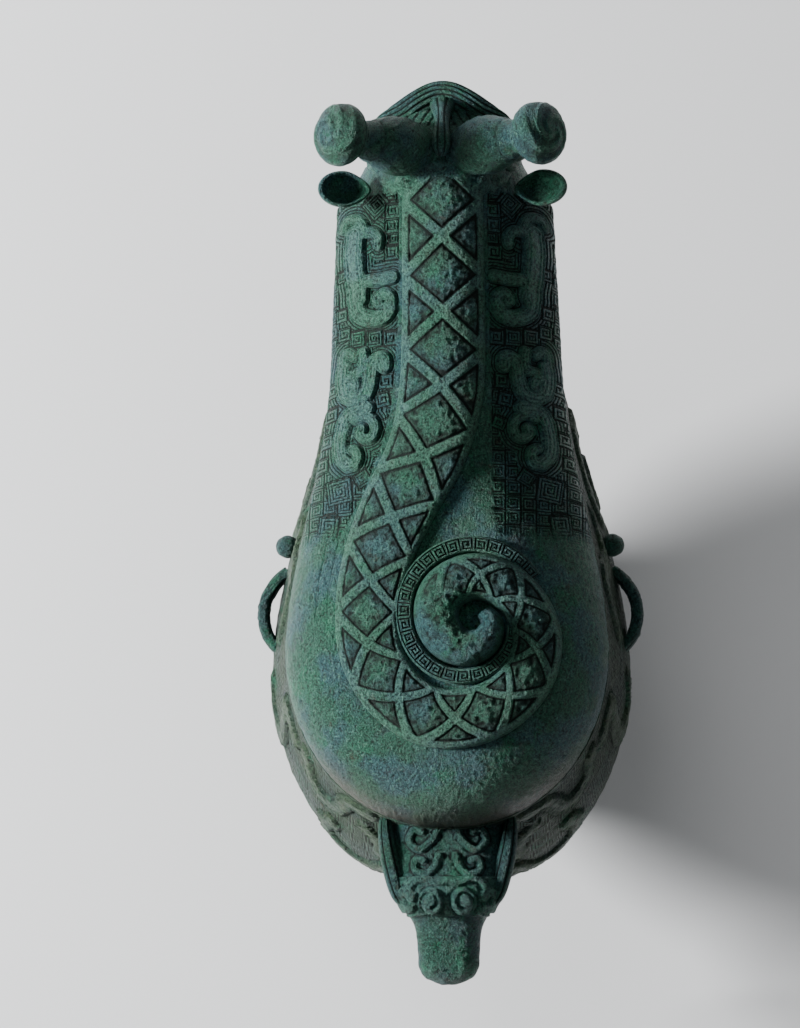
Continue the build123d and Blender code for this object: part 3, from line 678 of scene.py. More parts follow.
looks = {
    "lid": bronzeLook("lidPatina", "lid", earth=[(0, -46, -60), (2, 116, 103)]),
    "plain": bronzeLook("plainPatina", "lid"),
    "body": bronzeLook("bellyPatina", "body", earth=[(2, 27, -4)], thread=bellyThread),
    "beast": bronzeLook("beastPatina", "beast"),
    "clay": bronzeLook("clayCore", "clay"),
}


def dress(piece, look):
    piece.data.materials.clear()
    piece.data.materials.append(looks[look])
    return piece


print("stage: finishes")


def ringLoft(name, body, centre, right, up, across, tall, cols, power, relief, lean=None):
    # rings along a path: centre, two directions and two half sizes each; the ends close to a point
    centre = np.asarray(centre, float)[:, None, :]
    right, up = (np.asarray(v, float) for v in (right, up))
    right, up = (v[:, None, :] if v.ndim > 1 else v for v in (right, up))
    across, tall = (np.broadcast_to(v, len(centre))[:, None] for v in (across, tall))
    turn = np.linspace(0, 2 * pi, cols)[None, :]
    a, b = (half * np.sign(way) * np.abs(way) ** (2 / power)
            for half, way in ((across, np.cos(turn)), (tall, np.sin(turn))))
    place = centre + right * a[..., None] + up * b[..., None]
    if lean:
        place = place + lean(b)
    height = relief(place, np.broadcast_to(turn, a.shape))
    place = place + sheetNormals(place, centre) * height[..., None]
    place[:, -1] = place[:, 0]
    ends = [np.broadcast_to(place[k].mean(axis=0), (1, cols, 3)) for k in (0, -1)]
    flat = np.pad(height, ((1, 1), (0, 0)))
    return shapedSheet(name, np.concatenate([ends[0], place, ends[1]]),
                       {"wearAndShade": wearAndShadeMap(softStep(flat, 0.0, 0.8), flat)}, body, caps=False)


def pathFrames(points, count=90, upHint=(0, 0, 1)):
    # a smooth line through points, with its sideways and upper directions
    line = flow(points, count)
    way = unit(np.gradient(line, axis=0))
    side = unit(np.cross(np.broadcast_to(np.array(upHint, float), way.shape), way))
    return line, side, np.cross(way, side)


# Raised figures on the belly: half width, then distance round from the back end (at height 70) and height.
bellyFigures = {
    "ring": 182.4,
    "strokes": [
        (2.1, [(18.6, 91.0), (23.4, 90.2), (26.8, 86.2), (29.6, 81.8), (34.6, 79.8), (39.6, 82.2), (40.8, 87.0)]),
        (2.1, [(16.4, 74.4), (17.6, 80.0), (20.6, 83.0)]),
        (2.3, [(16.4, 67.0), (20.0, 62.0), (26.4, 59.8), (32.6, 62.2), (35.0, 68.0), (31.6, 72.6)]),
        (2.5, [(48.0, 84.0), (53.6, 85.0), (56.6, 79.6), (56.6, 72.4), (60.0, 65.8), (66.4, 63.6), (71.2, 67.6)]),
        (2.1, [(76.4, 79.0), (79.8, 84.2), (85.6, 85.0), (90.4, 81.2), (96.2, 79.0), (101.2, 82.2)]),
        (2.4, [(109.6, 65.0), (110.2, 73.4), (115.4, 79.6), (123.0, 80.6), (129.4, 76.4), (134.6, 71.6)]),
        (2.0, [(118.6, 71.0), (117.6, 65.4), (122.4, 61.4), (128.0, 64.2)]),
    ],
    "rise": 0.85, "outline": 0.5, "inner": 0.75, "deep": 0.34,
    "lines": [(30.0, -0.3, 0.4), (55.8, -0.3, 0.4), (93.4, -0.25, 0.35), (33.5, 0.55, 0.8), (37.0, 0.55, 0.8)],
    # round knobs: place, height, radius
    "curls": [(20.6, 86.6, 2.0), (71.8, 69.4, 1.8), (102.0, 83.6, 1.6), (31.0, 73.2, 1.6)],
}


def outlineRing(z, count, inset=0.0):
    levels, bellyX = np.array(vesselShape["levels"], float), vesselShape["bellyX"]
    rear, front, half, neck, nose = smoothAlong(levels[:, 0], levels[:, 1:], [z])[0]
    c = np.cos(np.linspace(0, pi, 700))
    power = np.where(c > 0, nose, vesselShape["rearPower"])
    x = bellyX + np.where(c > 0, front - bellyX, bellyX - rear) * c
    y = sideWidth(x, half, neck) * np.clip(1 - np.abs(c) ** power, 0, 1) ** (1 / power)
    line = np.stack([x, y], axis=1)
    line = np.concatenate([line, line[-2::-1] * [1, -1]])
    if inset:
        way = unit(np.gradient(line, axis=0))
        line = line + np.stack([-way[:, 1], way[:, 0]], axis=1) * inset
    return respace(line, count)[0]


def bellyRelief(s, z):
    # s is the distance round from the back end; returns height, skin, ground mask and depth in a figure
    f = bellyFigures
    depth = strokeDepth(s, z, f["strokes"])
    zone = softStep(s, 9, 13) * softStep(142 - s, 0, 6)
    lines = sum(size * bell(z, at, wide) for at, size, wide in f["lines"])
    eyes = 0
    for u, v, r in f["curls"]:
        away = np.hypot(s - u, z - v)
        eyes = eyes + (0.9 * np.clip(1 - (away / r) ** 4, 0, 1) - 0.4 * bell(away, r * 0.55, 0.3) * (away < r))
    height = hookRelief(depth, f) * zone
    height = np.where(eyes != 0, np.maximum(height, eyes), height) + lines * (1 - softStep(depth, -0.6, 0.2))
    skin = 0.12 * roughness(s, z, 6.5, 1.3) + 0.06 * roughness(s, z, 2.8, 2.9)
    frieze = softStep(z, 56.4, 57) * softStep(92.8 - z, 0, 0.6)
    frieze = frieze + 0.7 * softStep(z, 38.6, 39.2) * softStep(55.2 - z, 0, 0.6)
    return height, skin, frieze * zone * (1 - softStep(depth, -0.75, -0.4)), depth


def makeVessel():
    s = vesselShape
    cols, rows, bottom = s["cols"], s["rows"], s["bottom"]
    zs = np.linspace(bottom, s["topRing"], s["rings"])
    table, inner = (np.stack([outlineRing(z, cols, inset) for z in zs]) for inset in (0, s["wall"]))
    tops = np.array([np.interp(0, zs - seamHeight(table[:, k, 0]), zs) for k in range(cols)])

    def wallAt(source, share, low):
        z = low + share[:, None] * (tops[None, :] - low)
        xy = [np.stack([np.interp(z[:, k], zs, source[:, k, axis]) for k in range(cols)], axis=1)
              for axis in (0, 1)]
        return np.stack([*xy, z], axis=2)

    def floorRings(ring, z, shares):
        centre = np.array([s["middleX"], 0, z])
        return np.stack([centre + (np.concatenate([ring[:, :2], np.full((cols, 1), z)], axis=1) - centre) * k
                         for k in shares])

    outer = wallAt(table, np.linspace(0, 1, rows), bottom)
    inside = wallAt(inner, np.linspace(1, 0, s["innerRows"]), s["floor"])
    z = outer[..., 2]
    run = np.broadcast_to(np.abs(np.linspace(-1, 1, cols)) * bellyFigures["ring"], z.shape)
    height, skin, ground, depth = bellyRelief(run, z)
    edge = softStep(tops[None, :] - z, 0.0, 1.2) * softStep(z, 18.5, 20)
    normal = sheetNormals(outer, outer * [0, 0, 1] + [-10, 0, 0])
    base = floorRings(outer[0], bottom, (0, 0.35, 0.7, 0.93))
    pan = floorRings(inside[-1], s["floor"], (0.97, 0.8, 0.4, 0))
    full = np.concatenate([base, outer + normal * ((height + skin) * edge)[..., None], inside, pan])
    track, wearAndShade = np.zeros(full.shape), np.zeros(full.shape)
    span = slice(len(base), len(base) + rows)
    track[span] = np.stack([run, z, ground * edge], axis=2)
    wearAndShade[span] = wearAndShadeMap(softStep(depth, -0.2, 0.5), height * edge)
    piece = shapedSheet("vesselBody", full, {"track": track, "wearAndShade": wearAndShade}, "vessel", caps=False)
    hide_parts("vessel_body")
    print("stage: vessel", len(piece.data.polygons))
    return dress(piece, "body")


footShape = {"centreX": -20.5, "long": 38.5, "wide": 30.0, "tall": 22.6, "wall": 2.8, "teeth": 44, "cols": 360,
             "skin": [(0, 0), (3, 0), (7, -1.6), (12, -3.7), (17, -3.4), (22.6, -2.2)]}


def makeFoot():
    f = footShape
    z, zIn = np.linspace(0, f["tall"], 80), np.linspace(f["tall"], 0, 12)
    off = smoothAlong(*zip(*f["skin"]), z)
    bands = 0.5 * bell(z, 8.0, 0.7) + 0.5 * bell(z, 16.5, 0.7) - 0.35 * bell(z, 3.4, 0.35)
    outline = np.stack([z, off + bands], axis=1)
    inner = np.stack([zIn, np.interp(zIn, z, off) - f["wall"]], axis=1)
    loop = np.concatenate([outline, inner, outline[:1]])
    tall, wide = loop[:, :1], loop[:, 1:]
    turn = np.linspace(0, 2 * pi, f["cols"] + 1)
    place = np.stack([f["centreX"] + (f["long"] + wide) * np.cos(turn), (f["wide"] + wide) * np.sin(turn),
                      tall + 0 * turn], axis=2)
    place[:, -1] = place[:, 0]
    # zigzag line round the outside
    arc, zAll = runLength(place[0]), place[..., 2]
    band = softStep(zAll, 8.8, 9.3) * softStep(15.7 - zAll, 0, 0.5)
    band[len(outline):-1] = 0
    tooth = np.abs(np.mod(arc / (arc[-1] / f["teeth"]), 1) - 0.5) * 2 - (zAll - 9.0) / 6.8
    zig = -0.32 * bell(tooth, 0, 0.14) * band
    outwards = unit((place - [f["centreX"], 0, 0]) * [1, 1, 0])
    piece = shapedSheet("ringFoot", place + outwards * zig[..., None],
                        {"wearAndShade": wearAndShadeMap(softStep(zig, -0.1, 0), zig)}, "vessel", caps=False)
    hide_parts("ring_foot")
    return dress(piece, "body")


handleShape = {"top": 80.0, "bottom": 40.0, "backX": -97.5, "inX": -72.0, "bend": 13.0, "scale": 5.4,
               "thick": 3.9, "wide": 5.2, "spurWidths": [3.6, 4.4, 4.9, 3.6, 0.8],
               "spur": [(-97.2, 0, 45), (-98.4, 0, 40), (-99.8, 0, 35), (-101.3, 0, 31.4), (-101.9, 0, 29.8)]}


def makeHandle():
    h = handleShape
    back, bend, inX = h["backX"], h["bend"], h["inX"]
    corner, upper, lower = back + bend, h["top"] - bend, h["bottom"] + bend
    turns = np.linspace(0, pi / 2, 24)[1:]
    path = [(x, h["top"]) for x in np.linspace(inX, corner, 22)]
    path += [(corner - bend * math.sin(t), upper + bend * math.cos(t)) for t in turns]
    path += [(back, z) for z in np.linspace(upper, lower, 30)[1:]]
    path += [(corner - bend * math.cos(t), lower - bend * math.sin(t)) for t in turns]
    path += [(x, h["bottom"]) for x in np.linspace(corner, inX, 22)[1:]]
    path, run = respace(np.array(path), 260)
    centre = np.stack([path[:, 0], 0 * run, path[:, 1]], axis=1)
    way = unit(np.gradient(path, axis=0))
    outward = facing(np.stack([way[:, 1], 0 * run, -way[:, 0]], axis=1), centre - [-80, 0, 60])

    def scales(place, turn):
        # overlapping scales on the outer face, framed by a groove on each edge
        cell = (np.mod(run[:, None] / h["scale"], 1) - 0.5) * h["scale"]
        arc = np.hypot(cell, np.cos(turn) * h["wide"] * 0.82)
        lines = bell(arc, 2.5, 0.3) + bell(arc, 1.4, 0.25)
        upper = np.sin(turn)
        edges = 0.35 * bell(upper, 0.1, 0.08) + 0.3 * bell(upper, -0.45, 0.08)
        return -0.4 * lines * softStep(upper, 0.15, 0.35) - edges

    piece = ringLoft("handleGrip", "vessel", centre, (0, 1, 0), outward, h["wide"], h["thick"], 97, 2.4, scales)
    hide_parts("handle_grip", "handle_clay_core")
    line, side, up = pathFrames(h["spur"], 40, (1, 0, 0))
    wide = flow(h["spurWidths"], 40)
    spur = ringLoft("handleSpur", "vessel", line, side, up, wide, wide * 0.48, 49, 2.2,
                    lambda p, t: -0.35 * bell(np.cos(t), 0, 0.16))
    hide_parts("handle_spur")
    print("stage: handle")
    dress(piece, "beast")
    dress(spur, "beast")


beastShape = {
    "sections": [(-64.5, 12.4, 80, 94), (-66, 13.4, 80, 94.6), (-73, 14.2, 80, 95.8), (-80, 13.2, 81, 97),
                 (-86, 11.0, 81.5, 96.5), (-91, 8.2, 81, 92.5), (-98, 7.3, 79.5, 90), (-101.4, 6.9, 79.8, 89.4),
                 (-103.7, 4.9, 81.2, 88.2), (-104.9, 1.8, 83.4, 86.2)],
    "scrolls": [(0.75, [(-69.0, 2.2), (-71.5, 3.6), (-73.6, 6.6), (-71.6, 9.0), (-69.0, 8.0), (-69.4, 6.0)]),
                (0.75, [(-75.0, 2.0), (-77.4, 2.8), (-79.4, 5.0), (-78.4, 7.6), (-76.0, 7.4), (-76.2, 5.6)]),
                (0.8, [(-81.0, 0.4), (-81.4, 2.6), (-80.6, 5.0), (-80.9, 7.4), (-82.6, 8.6)]),
                (0.95, [(-84.6, 8.0), (-83.2, 9.4), (-84.4, 10.8), (-86.6, 10.0), (-86.8, 8.4)])],
    "eye": (-85.6, 3.7, 2.9),
    "horn": [(-87.0, 8.6, 92.2), (-84.5, 11.2, 92.6), (-79, 12.9, 93.0), (-73, 14.2, 92.8), (-67.5, 14.8, 92.0),
             (-63.6, 14.6, 91.2)],
    "hornSize": [0.7, 1.9, 2.3, 2.1, 1.6, 0.5],
}


def makeBeast():
    b = beastShape
    sec = np.array(b["sections"])
    x = np.linspace(sec[0, 0], sec[-1, 0], 190)
    half, low, top = smoothAlong(-sec[:, 0], sec[:, 1:], -x).T

    def face(place, turn):
        px, py = place[..., 0], np.abs(place[..., 1])
        ex, ey, er = b["eye"]
        r = np.hypot(px - ex, py - ey)
        swirl = r - 0.28 * np.arctan2(py - ey, px - ex)
        eye = 0.95 * np.clip(1 - (r / er) ** 4, 0, 1) ** 0.5 - 0.75 * bell(swirl, 1.75, 0.26)
        eye = eye - 0.5 * bell(r, er + 0.3, 0.35)
        scroll = scrollRelief(strokeDepth(px, py, b["scrolls"]), 0.55, 0.3)
        brow = 0.9 * softStep(px, -89.5, -88.4)
        nostril = 0.8 * np.exp(-((px + 101.2) ** 2 + (py - 3.4) ** 2) / 2.2)
        muzzle = 0.1 * roughness(px, place[..., 1], 3.0, 2.2) + 0.12 * softStep(-90 - px, 0, 2)
        mouth = -0.8 * bell(place[..., 2], 83.4, 0.55) * softStep(-90 - px, 0, 1.5)
        return softStep(np.sin(turn), 0.05, 0.3) * (py < 11) * (
            scroll * (r > er + 0.4) + eye * (r < er + 1.2) + brow * (px < -80) + nostril + muzzle) + mouth

    centre = np.stack([x, 0 * x, (low + top) / 2], axis=1)
    piece = ringLoft("beastHead", "vessel", centre, (0, 1, 0), (0, 0, 1), half, (top - low) / 2, 201, 2.5, face)
    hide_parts("handle_beast_head", "beast_eyes")
    dress(piece, "beast")
    for name, sign, node in bothSides("beastHorn", "beast_horn"):
        line, side, up = pathFrames([(x, sign * y, z) for x, y, z in b["horn"]])
        size = flow(b["hornSize"], 90)
        ribs = lambda p, t: -0.42 * np.clip(np.cos(t * 6), 0, 1) ** 6 * (np.sin(t) > -0.2)
        horn = ringLoft(name, "vessel", line, side, up, size, size * 1.15, 61, 2.2, ribs)
        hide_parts(node)
        dress(horn, "beast")
    print("stage: beast")


lugShape = {"z": 68.0, "thick": 1.45, "tall": 3.5, "boss": (1.5, 39.5, 72.0), "bossRadius": 2.9,
            "path": [(-4.2, 39.4), (-6.6, 42.2), (-10.5, 44.7), (-15.0, 45.5), (-19.5, 44.6), (-22.6, 42.4),
                     (-24.2, 40.4)]}


def makeLugs():
    s = lugShape
    for name, sign, node in bothSides("lug", "side_lug"):
        line, side, up = pathFrames([(x, sign * y, s["z"]) for x, y in s["path"]])
        ridge = lambda p, t: -0.35 * bell(np.abs(np.sin(t)), 0.55, 0.1) \
            + 0.12 * roughness(p[..., 0] + p[..., 1], p[..., 2], 2.0, 1.4)
        lug = ringLoft(name, "vessel", line, side, up, s["thick"], s["tall"], 65, 3.2, ridge)
        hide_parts(node)
        dress(lug, "beast")
    for name, sign in (("bossLeft", 1), ("bossRight", -1)):
        bm = bmesh.new()
        bmesh.ops.create_uvsphere(bm, u_segments=48, v_segments=32, radius=s["bossRadius"] * mm)
        for v in bm.verts:
            turn, r = math.atan2(v.co.z, v.co.x), math.hypot(v.co.x, v.co.z) / mm
            v.co *= 1 - 0.05 * max(0, math.cos(turn * 2 + r * 2.4)) * min(1, r)
        x, y, z = s["boss"]
        bmesh.ops.translate(bm, verts=bm.verts, vec=(x * mm, sign * y * mm, z * mm))
        boss = finishPiece(name, meshFrom(bm, name), "vessel")
        if sign > 0:
            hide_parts("side_bosses")
        dress(boss, "beast")
    print("stage: lugs")


# The dragon's head: sections are x, half width, lowest and highest; the horn is radius against length.
headShape = {
    "sections": [(76.5, 16.4, 104, 129.6), (80, 17.6, 104, 132), (83, 18.4, 104, 133.6), (89, 18.2, 106, 134),
                 (94, 16.6, 109, 130.5), (98.5, 12.6, 112.5, 125.6), (101.5, 7.6, 116, 123), (102.6, 3.6, 118, 121.6)],
    "wall": 3.0, "eye": (89.5, 17.4, 122.5, 3.9),
    "hornRoot": (86.5, 5.2, 130.0), "hornLean": 45.0,
    "horn": [(4.6, -2), (5.6, 1), (6.8, 6), (6.4, 10.5), (4.5, 16.5), (3.95, 19.4), (4.6, 21.2), (6.4, 22.2),
             (7.2, 23.8), (7.0, 26.0), (5.4, 28.0), (2.9, 29.0), (0, 29.25)],
    "power": 2.4, "cols": 190,
    # scrolls on the cheek, by x and height, and the ridge behind the eye, by x and y
    "cheek": [(0.8, [(78.5, 108), (80, 113), (83.5, 114.5), (86, 112), (84, 109.8), (82.2, 111)]),
              (0.75, [(93.5, 113), (95.5, 116.5), (98, 117), (99, 114.8), (97.4, 113.9)])],
    "crown": [(1.3, [(88.4, 17.0), (86.0, 17.6), (82.7, 16.6), (79.5, 13.5), (78.2, 11.2)]),
              (1.5, [(79.4, 9.6), (78.0, 8.8), (77.4, 7.4)])],
}


def makeSkull():
    h = headShape
    sec = np.array(h["sections"])
    x = np.linspace(sec[0, 0], sec[-1, 0], 130)
    half, low, top = (v[:, None] for v in smoothAlong(sec[:, 0], sec[:, 1:], x).T)

    def archRows(turn, half, top):
        share = 2 / h["power"]
        y = half * np.sign(np.cos(turn)) * np.abs(np.cos(turn)) ** share
        z = low + (top - low) * np.sin(turn).clip(0, 1) ** share
        return np.stack([np.broadcast_to(x[:, None], y.shape), y, z], axis=2)

    outer = archRows(np.linspace(0, pi, h["cols"]), half, top)
    px, py, pz = outer[..., 0], np.abs(outer[..., 1]), outer[..., 2]
    ex, _, ez, er = h["eye"]
    ring = np.hypot(px - ex, pz - ez)
    lid = 0.9 * bell(ring, er + 1.2, 0.8) - 0.35 * bell(ring, er + 2.6, 0.3)
    curl = scrollRelief(strokeDepth(px, pz, h["cheek"]), 0.55, 0.25)
    atTop = softStep(pz, 121, 124)
    relief = (lid + curl) * softStep(py, 10, 13)
    relief = relief + 0.8 * softStep(strokeDepth(px, py, h["crown"]), -0.3, 0.6) * atTop
    relief = relief + 0.1 * roughness(px, py + pz, 2.4, 1.2)
    relief = relief - 0.3 * bell(np.mod(py + (px - 92) * 0.5, 2.2), 1.1, 0.3) * softStep(px, 91, 93) * atTop
    shaped = outer + sheetNormals(outer, [88, 0, 112]) * relief[..., None]
    inner = archRows(np.linspace(pi, 0, 30), np.maximum(half - h["wall"], 0.6),
                     np.maximum(top - h["wall"] - 1.2, low + 1))
    full = np.concatenate([shaped, inner, shaped[:, :1]], axis=1)
    wearAndShade = np.zeros(full.shape)
    wearAndShade[:, :h["cols"]] = wearAndShadeMap(softStep(relief, 0, 0.6), relief)
    piece = shapedSheet("dragonHead", full, {"wearAndShade": wearAndShade})
    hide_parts("dragon_head")
    return dress(piece, "plain")


# The curled lip's edge in plan, on the left; the ridge down the middle, and its half widths.
snoutShape = {"edge": [(92.8, 18.8), (96.8, 15.4), (100.3, 11.0), (103.0, 6.8), (104.6, 3.3), (105.1, 0)],
              "z": 122.6, "rings": 240, "power": 2.6, "hatch": 1.15, "lean": 0.42,
              "ridge": [(84.4, 0, 134.6), (87, 0, 135.6), (91, 0, 134.2), (94.5, 0, 131.2), (97.6, 0, 127.6),
                        (99.8, 0, 125.2)],
              "ridgeWidths": [1.0, 2.2, 1.7, 1.9, 2.8, 3.4]}


def makeSnout():
    # curled lip: a pointed arch, hatched along its length, leaning outward to its top
    s = snoutShape
    count, edge = s["rings"], s["edge"]
    line = flow(edge + [(x, -y) for x, y in edge[-2::-1]], count)
    way = unit(np.gradient(line, axis=0))
    inward = facing(np.stack([way[:, 1], -way[:, 0]], axis=1), np.array([88, 0]) - line)
    inward = np.concatenate([inward, np.zeros((count, 1))], axis=1)
    middle = 1 - np.abs(np.linspace(-1, 1, count))
    thick = 0.7 + 2.8 * ease(middle * 2.4)
    tall = 2.2 + 2.2 * ease(middle * 1.8)
    centre = np.column_stack([line, s["z"] + 1.2 * ease(middle * 1.6)]) + inward * thick[:, None]

    def hatch(place, turn):
        # threads run along the arch on its upper face
        out = np.sign(np.cos(turn)) * np.abs(np.cos(turn)) ** (2 / s["power"]) * thick[:, None]
        upper = softStep(np.sin(turn), 0.2, 0.5)
        threads = (0.5 + 0.5 * np.cos(2 * pi * out / s["hatch"])) ** 2.5
        return -0.32 * threads * upper - 0.25 * bell(np.sin(turn), -0.3, 0.12)

    def lean(b):
        return inward[:, None, :] * ((tall[:, None] - b) * s["lean"])[..., None]

    piece = ringLoft("dragonSnout", "lid", centre, -inward, (0, 0, 1), thick, tall, count + 1, s["power"],
                     hatch, lean)
    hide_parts("dragon_snout")
    dress(piece, "plain")
    line, side, up = pathFrames(s["ridge"])
    ribs = lambda p, t: -0.3 * bell(np.abs(np.cos(t)), 0.35, 0.1) * (np.sin(t) > 0)
    ridge = ringLoft("noseRidge", "lid", line, side, up, flow(s["ridgeWidths"], 90), 2.0, 61, 2.4, ribs)
    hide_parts("dragon_nose_ridge")
    return dress(ridge, "plain")


def makeHorn(name, sign, node):
    h = headShape
    fine = flow(h["horn"], 110)
    fine[:, 0] = np.maximum(fine[:, 0], 0)
    bm = bmesh.new()
    verts = [bm.verts.new((r * mm, 0, z * mm)) for r, z in fine]
    edges = [bm.edges.new(pair) for pair in zip(verts, verts[1:])]
    bmesh.ops.spin(bm, geom=verts + edges, cent=(0, 0, 0), axis=(0, 0, 1), angle=2 * pi, steps=120,
                   use_merge=True, use_duplicate=False)
    bmesh.ops.remove_doubles(bm, verts=bm.verts, dist=2e-6)
    closeHoles(bm)
    bmesh.ops.recalc_face_normals(bm, faces=bm.faces)
    mesh = meshFrom(bm, name)
    co = spots(mesh) / mm
    r, turn, z = np.hypot(co[:, 0], co[:, 1]), np.arctan2(co[:, 1], co[:, 0]), co[:, 2]
    # whorl on the cap, rings on the neck and leaves on the swelling
    cap = softStep(z, 21.4, 22.6)
    whorl = 0.24 * np.clip(np.cos(turn * 3 - r * 2.1 * sign) * 1.6, -0.8, 0.5)
    relief = cap * (whorl * softStep(r, 0.8, 2.0) * softStep(z, 23.4, 24.6) - 0.26 * bell(z, 23.0, 0.24))
    collar = 0.35 * bell(z, 19.8, 0.5) - 0.25 * bell(z, 15.2, 0.35)
    leaf = -0.14 * bell(np.abs(np.sin(turn * 2.5)) * 9, 15 - z, 0.7)
    leaf = leaf * softStep(z, 3, 5) * softStep(15.2 - z, 0, 1)
    crust = (0.14 - 0.09 * cap) * roughness(co[:, 0] + co[:, 2], co[:, 1], 3.4, 1.9) * softStep(r, 0.5, 2)
    relief = relief + collar + leaf + crust
    out = np.stack([np.cos(turn), np.sin(turn), 0 * turn], axis=1)
    out[cap > 0.5] = co[cap > 0.5] - [0, 0, 24.4]
    co = co + unit(out) * (relief * (z > 0.5))[:, None]
    lean = math.radians(h["hornLean"])
    up, ahead = np.array([0, sign * math.cos(lean), math.sin(lean)]), np.array([1.0, 0, 0])
    rows = np.stack([ahead, np.cross(up, ahead), up])
    mesh.vertices.foreach_set("co", ((co @ rows + np.array(h["hornRoot"]) * [1, sign, 1]) * mm).ravel())
    paint(mesh, "wearAndShade", wearAndShadeMap(softStep(relief, 0, 0.3), 0.6 * relief))
    piece = finishPiece(name, mesh, "lid")
    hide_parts(node)
    return dress(piece, "plain")


earShape = {"centre": (78.3, 22.9, 126.4), "half": (4.3, 6.3, 3.3), "tilt": 14}


def settle(bm, sign, centre):
    # from millimetres at the origin to metres on one side of the head
    x, y, z = centre
    bmesh.ops.scale(bm, verts=bm.verts, vec=(mm, mm, mm))
    bmesh.ops.translate(bm, verts=bm.verts, vec=(x * mm, sign * y * mm, z * mm))


def makeEar(name, sign, node):
    # a cupped leaf: the sphere's upper half is pressed down inside its rim
    e = earShape
    bm = bmesh.new()
    bmesh.ops.create_uvsphere(bm, u_segments=96, v_segments=56, radius=1)
    a, b, c = e["half"]
    for v in bm.verts:
        x, y, z = v.co
        r = min(1, math.hypot(x, y))
        if z > 0:
            lip, cup = 0.28 * math.sqrt(max(0, 1 - ((r - 0.9) / 0.12) ** 2)), -0.62 * (1 - (r / 0.8) ** 2)
            z = (lip if r > 0.78 else cup) - 0.05 * max(0, math.cos(x * 9)) * (r < 0.7)
        pinch = 1 - 0.34 * max(0, -y) ** 1.5 + 0.04 * y
        v.co = Vector((x * a * pinch, sign * y * b, z * c))
    turn = Matrix.Rotation(math.radians(sign * e["tilt"]), 4, "X")
    bmesh.ops.transform(bm, verts=bm.verts, matrix=turn)
    settle(bm, sign, e["centre"])
    bmesh.ops.recalc_face_normals(bm, faces=bm.faces)
    piece = finishPiece(name, meshFrom(bm, name), "lid")
    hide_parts(node)
    return dress(piece, "plain")


def makeEye(name, sign, node):
    *centre, radius = headShape["eye"]
    bm = bmesh.new()
    bmesh.ops.create_uvsphere(bm, u_segments=64, v_segments=48, radius=radius)
    for v in bm.verts:
        r = math.hypot(v.co.x, v.co.z)
        v.co *= 1 + (-0.45 * bell(r, 2.0, 0.28) - 0.5 * bell(r, 0, 0.55)) / radius
        v.co.y *= 0.86
    settle(bm, sign, centre)
    piece = finishPiece(name, meshFrom(bm, name), "lid")
    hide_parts(node)
    return dress(piece, "plain")


# Meander ribbon that follows the coil.
ribbonShape = {"centre": (-23.0, -6.0), "rise": 1.5, "pitch": 3.3, "turns": 2,
               # angle round the coil, radius of the ribbon's middle, its half width
               "rule": [(216, 18.6, 1.5), (242, 18.6, 1.9), (270, 18.2, 2.0), (300, 17.5, 2.1), (330, 16.4, 2.1),
                        (360, 15.0, 2.1), (390, 14.1, 2.0), (420, 13.2, 1.9), (450, 12.3, 1.8), (480, 11.5, 1.7),
                        (510, 10.6, 1.5), (538, 9.7, 1.2)]}


def makeRibbon():
    r, rule = ribbonShape, np.array(ribbonShape["rule"], float)
    turns = np.linspace(rule[0, 0], rule[-1, 0], 2400)
    radius, half = smoothAlong(rule[:, 0], rule[:, 1:], turns).T
    a = np.radians(turns)
    line = np.stack([r["centre"][0] - radius * np.sin(a), r["centre"][1] + radius * np.cos(a), half], axis=1)
    run = runLength(line[:, :2])
    at = np.arange(0, run[-1], 0.12)
    line = placed(at, run, line)
    w = np.linspace(-1, 1, 45)
    edge = line[:, 2:3] * (1 - np.abs(w))
    inner = softStep(edge, 0.45, 0.6)
    # a row of spirals, each the other way round from the last
    u = at[:, None] / r["pitch"] + 0 * w
    v = (w / 0.78 * r["pitch"] / 2 + r["pitch"] / 2) / r["pitch"]
    flip = np.where(np.mod(np.floor(u), 2) == 0, 1, -1)
    thread = squareSpiral((np.mod(u, 1) - 0.5) * flip, np.mod(v, 1) - 0.5 + 0 * u, r["turns"])
    height = inner * 0.38 * thread - 0.38 * inner
    rise = r["rise"] * np.clip(1 - np.abs(w) ** 8, 0, 1)
    place = roofStrip(line, w, rise + height + 0.5 * ease(at / 30)[:, None])
    wearAndShade = wearAndShadeMap(thread * inner * 0.4 + (1 - inner), height * 1.2)
    piece = closedSheet("coilRibbon", place, roofStrip(line, np.linspace(1, -1, 6), -0.8), wearAndShade)
    print("stage: ribbon", len(piece.data.polygons))
    return dress(piece, "plain")


for make in (makeLid, makeDragonBody, makeRibbon, makeVessel, makeFoot, makeHandle, makeBeast, makeLugs,
             makeSkull, makeSnout):
    make()
for make, piece in ((makeHorn, "horn"), (makeEar, "ear"), (makeEye, "eye")):
    for name, sign, node in bothSides(piece, piece):
        make(name, sign, node)
for node, look in (("lid_tongue", "plain"), ("casting_spacers", "body"), ("upper_teeth", "plain"),
                   ("horn_clay_cores", "clay")):
    dress(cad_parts[node], look)
print("stage: head")


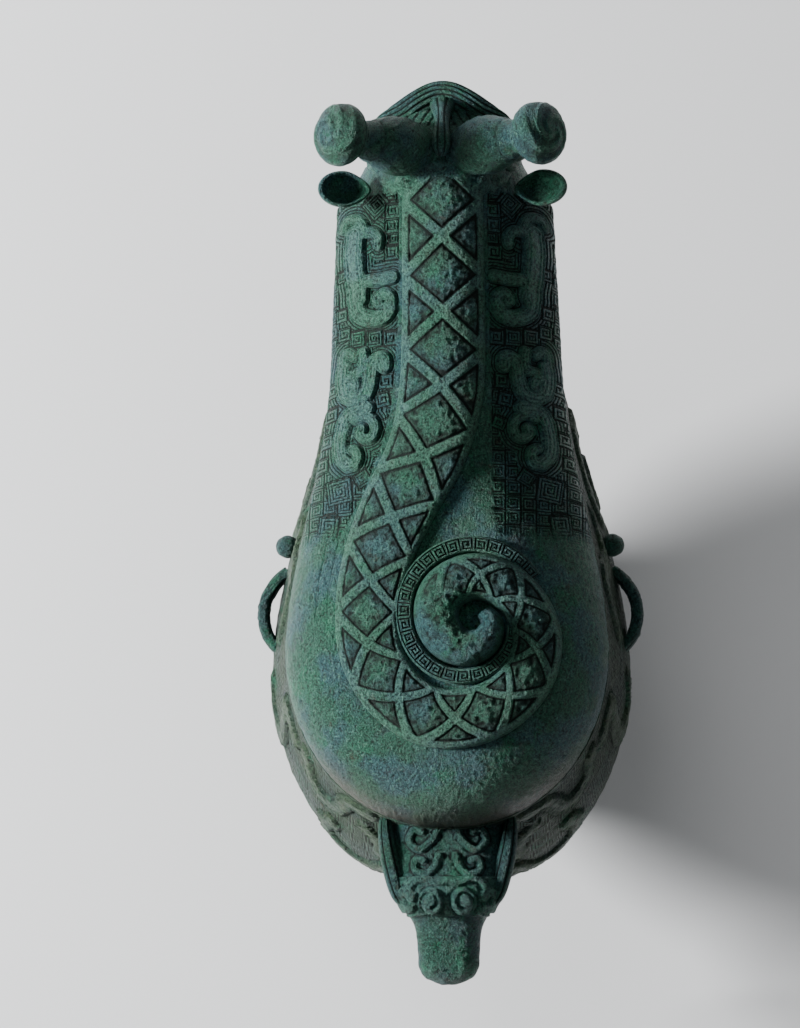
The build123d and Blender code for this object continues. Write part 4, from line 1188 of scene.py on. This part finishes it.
# Lamp: place, size and power.
studio = {
    "keyLight": ((0.1, 1.02, 0.46), 0.3, 47), "fillLight": ((-0.5, -0.6, 0.9), 1.0, 2.0),
    "topLight": ((0.5, 0.3, 1.3), 0.7, 4),
    "aim": (0, 0, 0.08), "floorSize": 9, "floor": (0.74, 0.75, 0.76, 1),
    "sky": (0.8, 0.82, 0.85, 1), "skyPower": 0.13,
    "eye": (-0.13297, -0.02854, 1.08447), "lookAt": (0.0062, 0.0112, 0.095), "lens": 147.08,
}


def addFloor():
    bm = bmesh.new()
    bmesh.ops.create_grid(bm, x_segments=1, y_segments=1, size=studio["floorSize"])
    floor = bpy.data.objects.new("floor", meshFrom(bm, "floor"))
    bpy.context.scene.collection.objects.link(floor)
    look = bpy.data.materials.new("floorPaper")
    look.use_nodes = True
    shader = look.node_tree.nodes["Principled BSDF"]
    shader.inputs["Base Color"].default_value = studio["floor"]
    shader.inputs["Roughness"].default_value = 0.9
    floor.data.materials.append(look)


def addLight(name):
    where, size, power = studio[name]
    lamp = bpy.data.lights.new(name, "AREA")
    lamp.shape, lamp.size, lamp.energy = "DISK", size, power
    holder = bpy.data.objects.new(name, lamp)
    bpy.context.scene.collection.objects.link(holder)
    holder.location = where
    holder.rotation_euler = (Vector(studio["aim"]) - Vector(where)).to_track_quat("-Z", "Y").to_euler()


def addCamera():
    eye, target = Vector(studio["eye"]), Vector(studio["lookAt"])
    lens = bpy.data.cameras.new("camera")
    lens.lens, lens.sensor_width, lens.sensor_fit = studio["lens"], 36, "AUTO"
    holder = bpy.data.objects.new("camera", lens)
    bpy.context.scene.collection.objects.link(holder)
    ahead = (target - eye).normalized()
    up = (Vector((1, 0, 0)) - ahead * ahead.x).normalized()
    right = ahead.cross(up)
    holder.matrix_world = Matrix.Translation(eye) @ Matrix((right, up, -ahead)).transposed().to_4x4()
    bpy.context.scene.camera = holder


def addSky():
    world = bpy.data.worlds.new("studio")
    bpy.context.scene.world = world
    world.use_nodes = True
    sky = world.node_tree.nodes["Background"].inputs
    sky[0].default_value, sky[1].default_value = studio["sky"], studio["skyPower"]


addFloor()
for name in ("keyLight", "fillLight", "topLight"):
    addLight(name)
addSky()
addCamera()

print("stage: done")
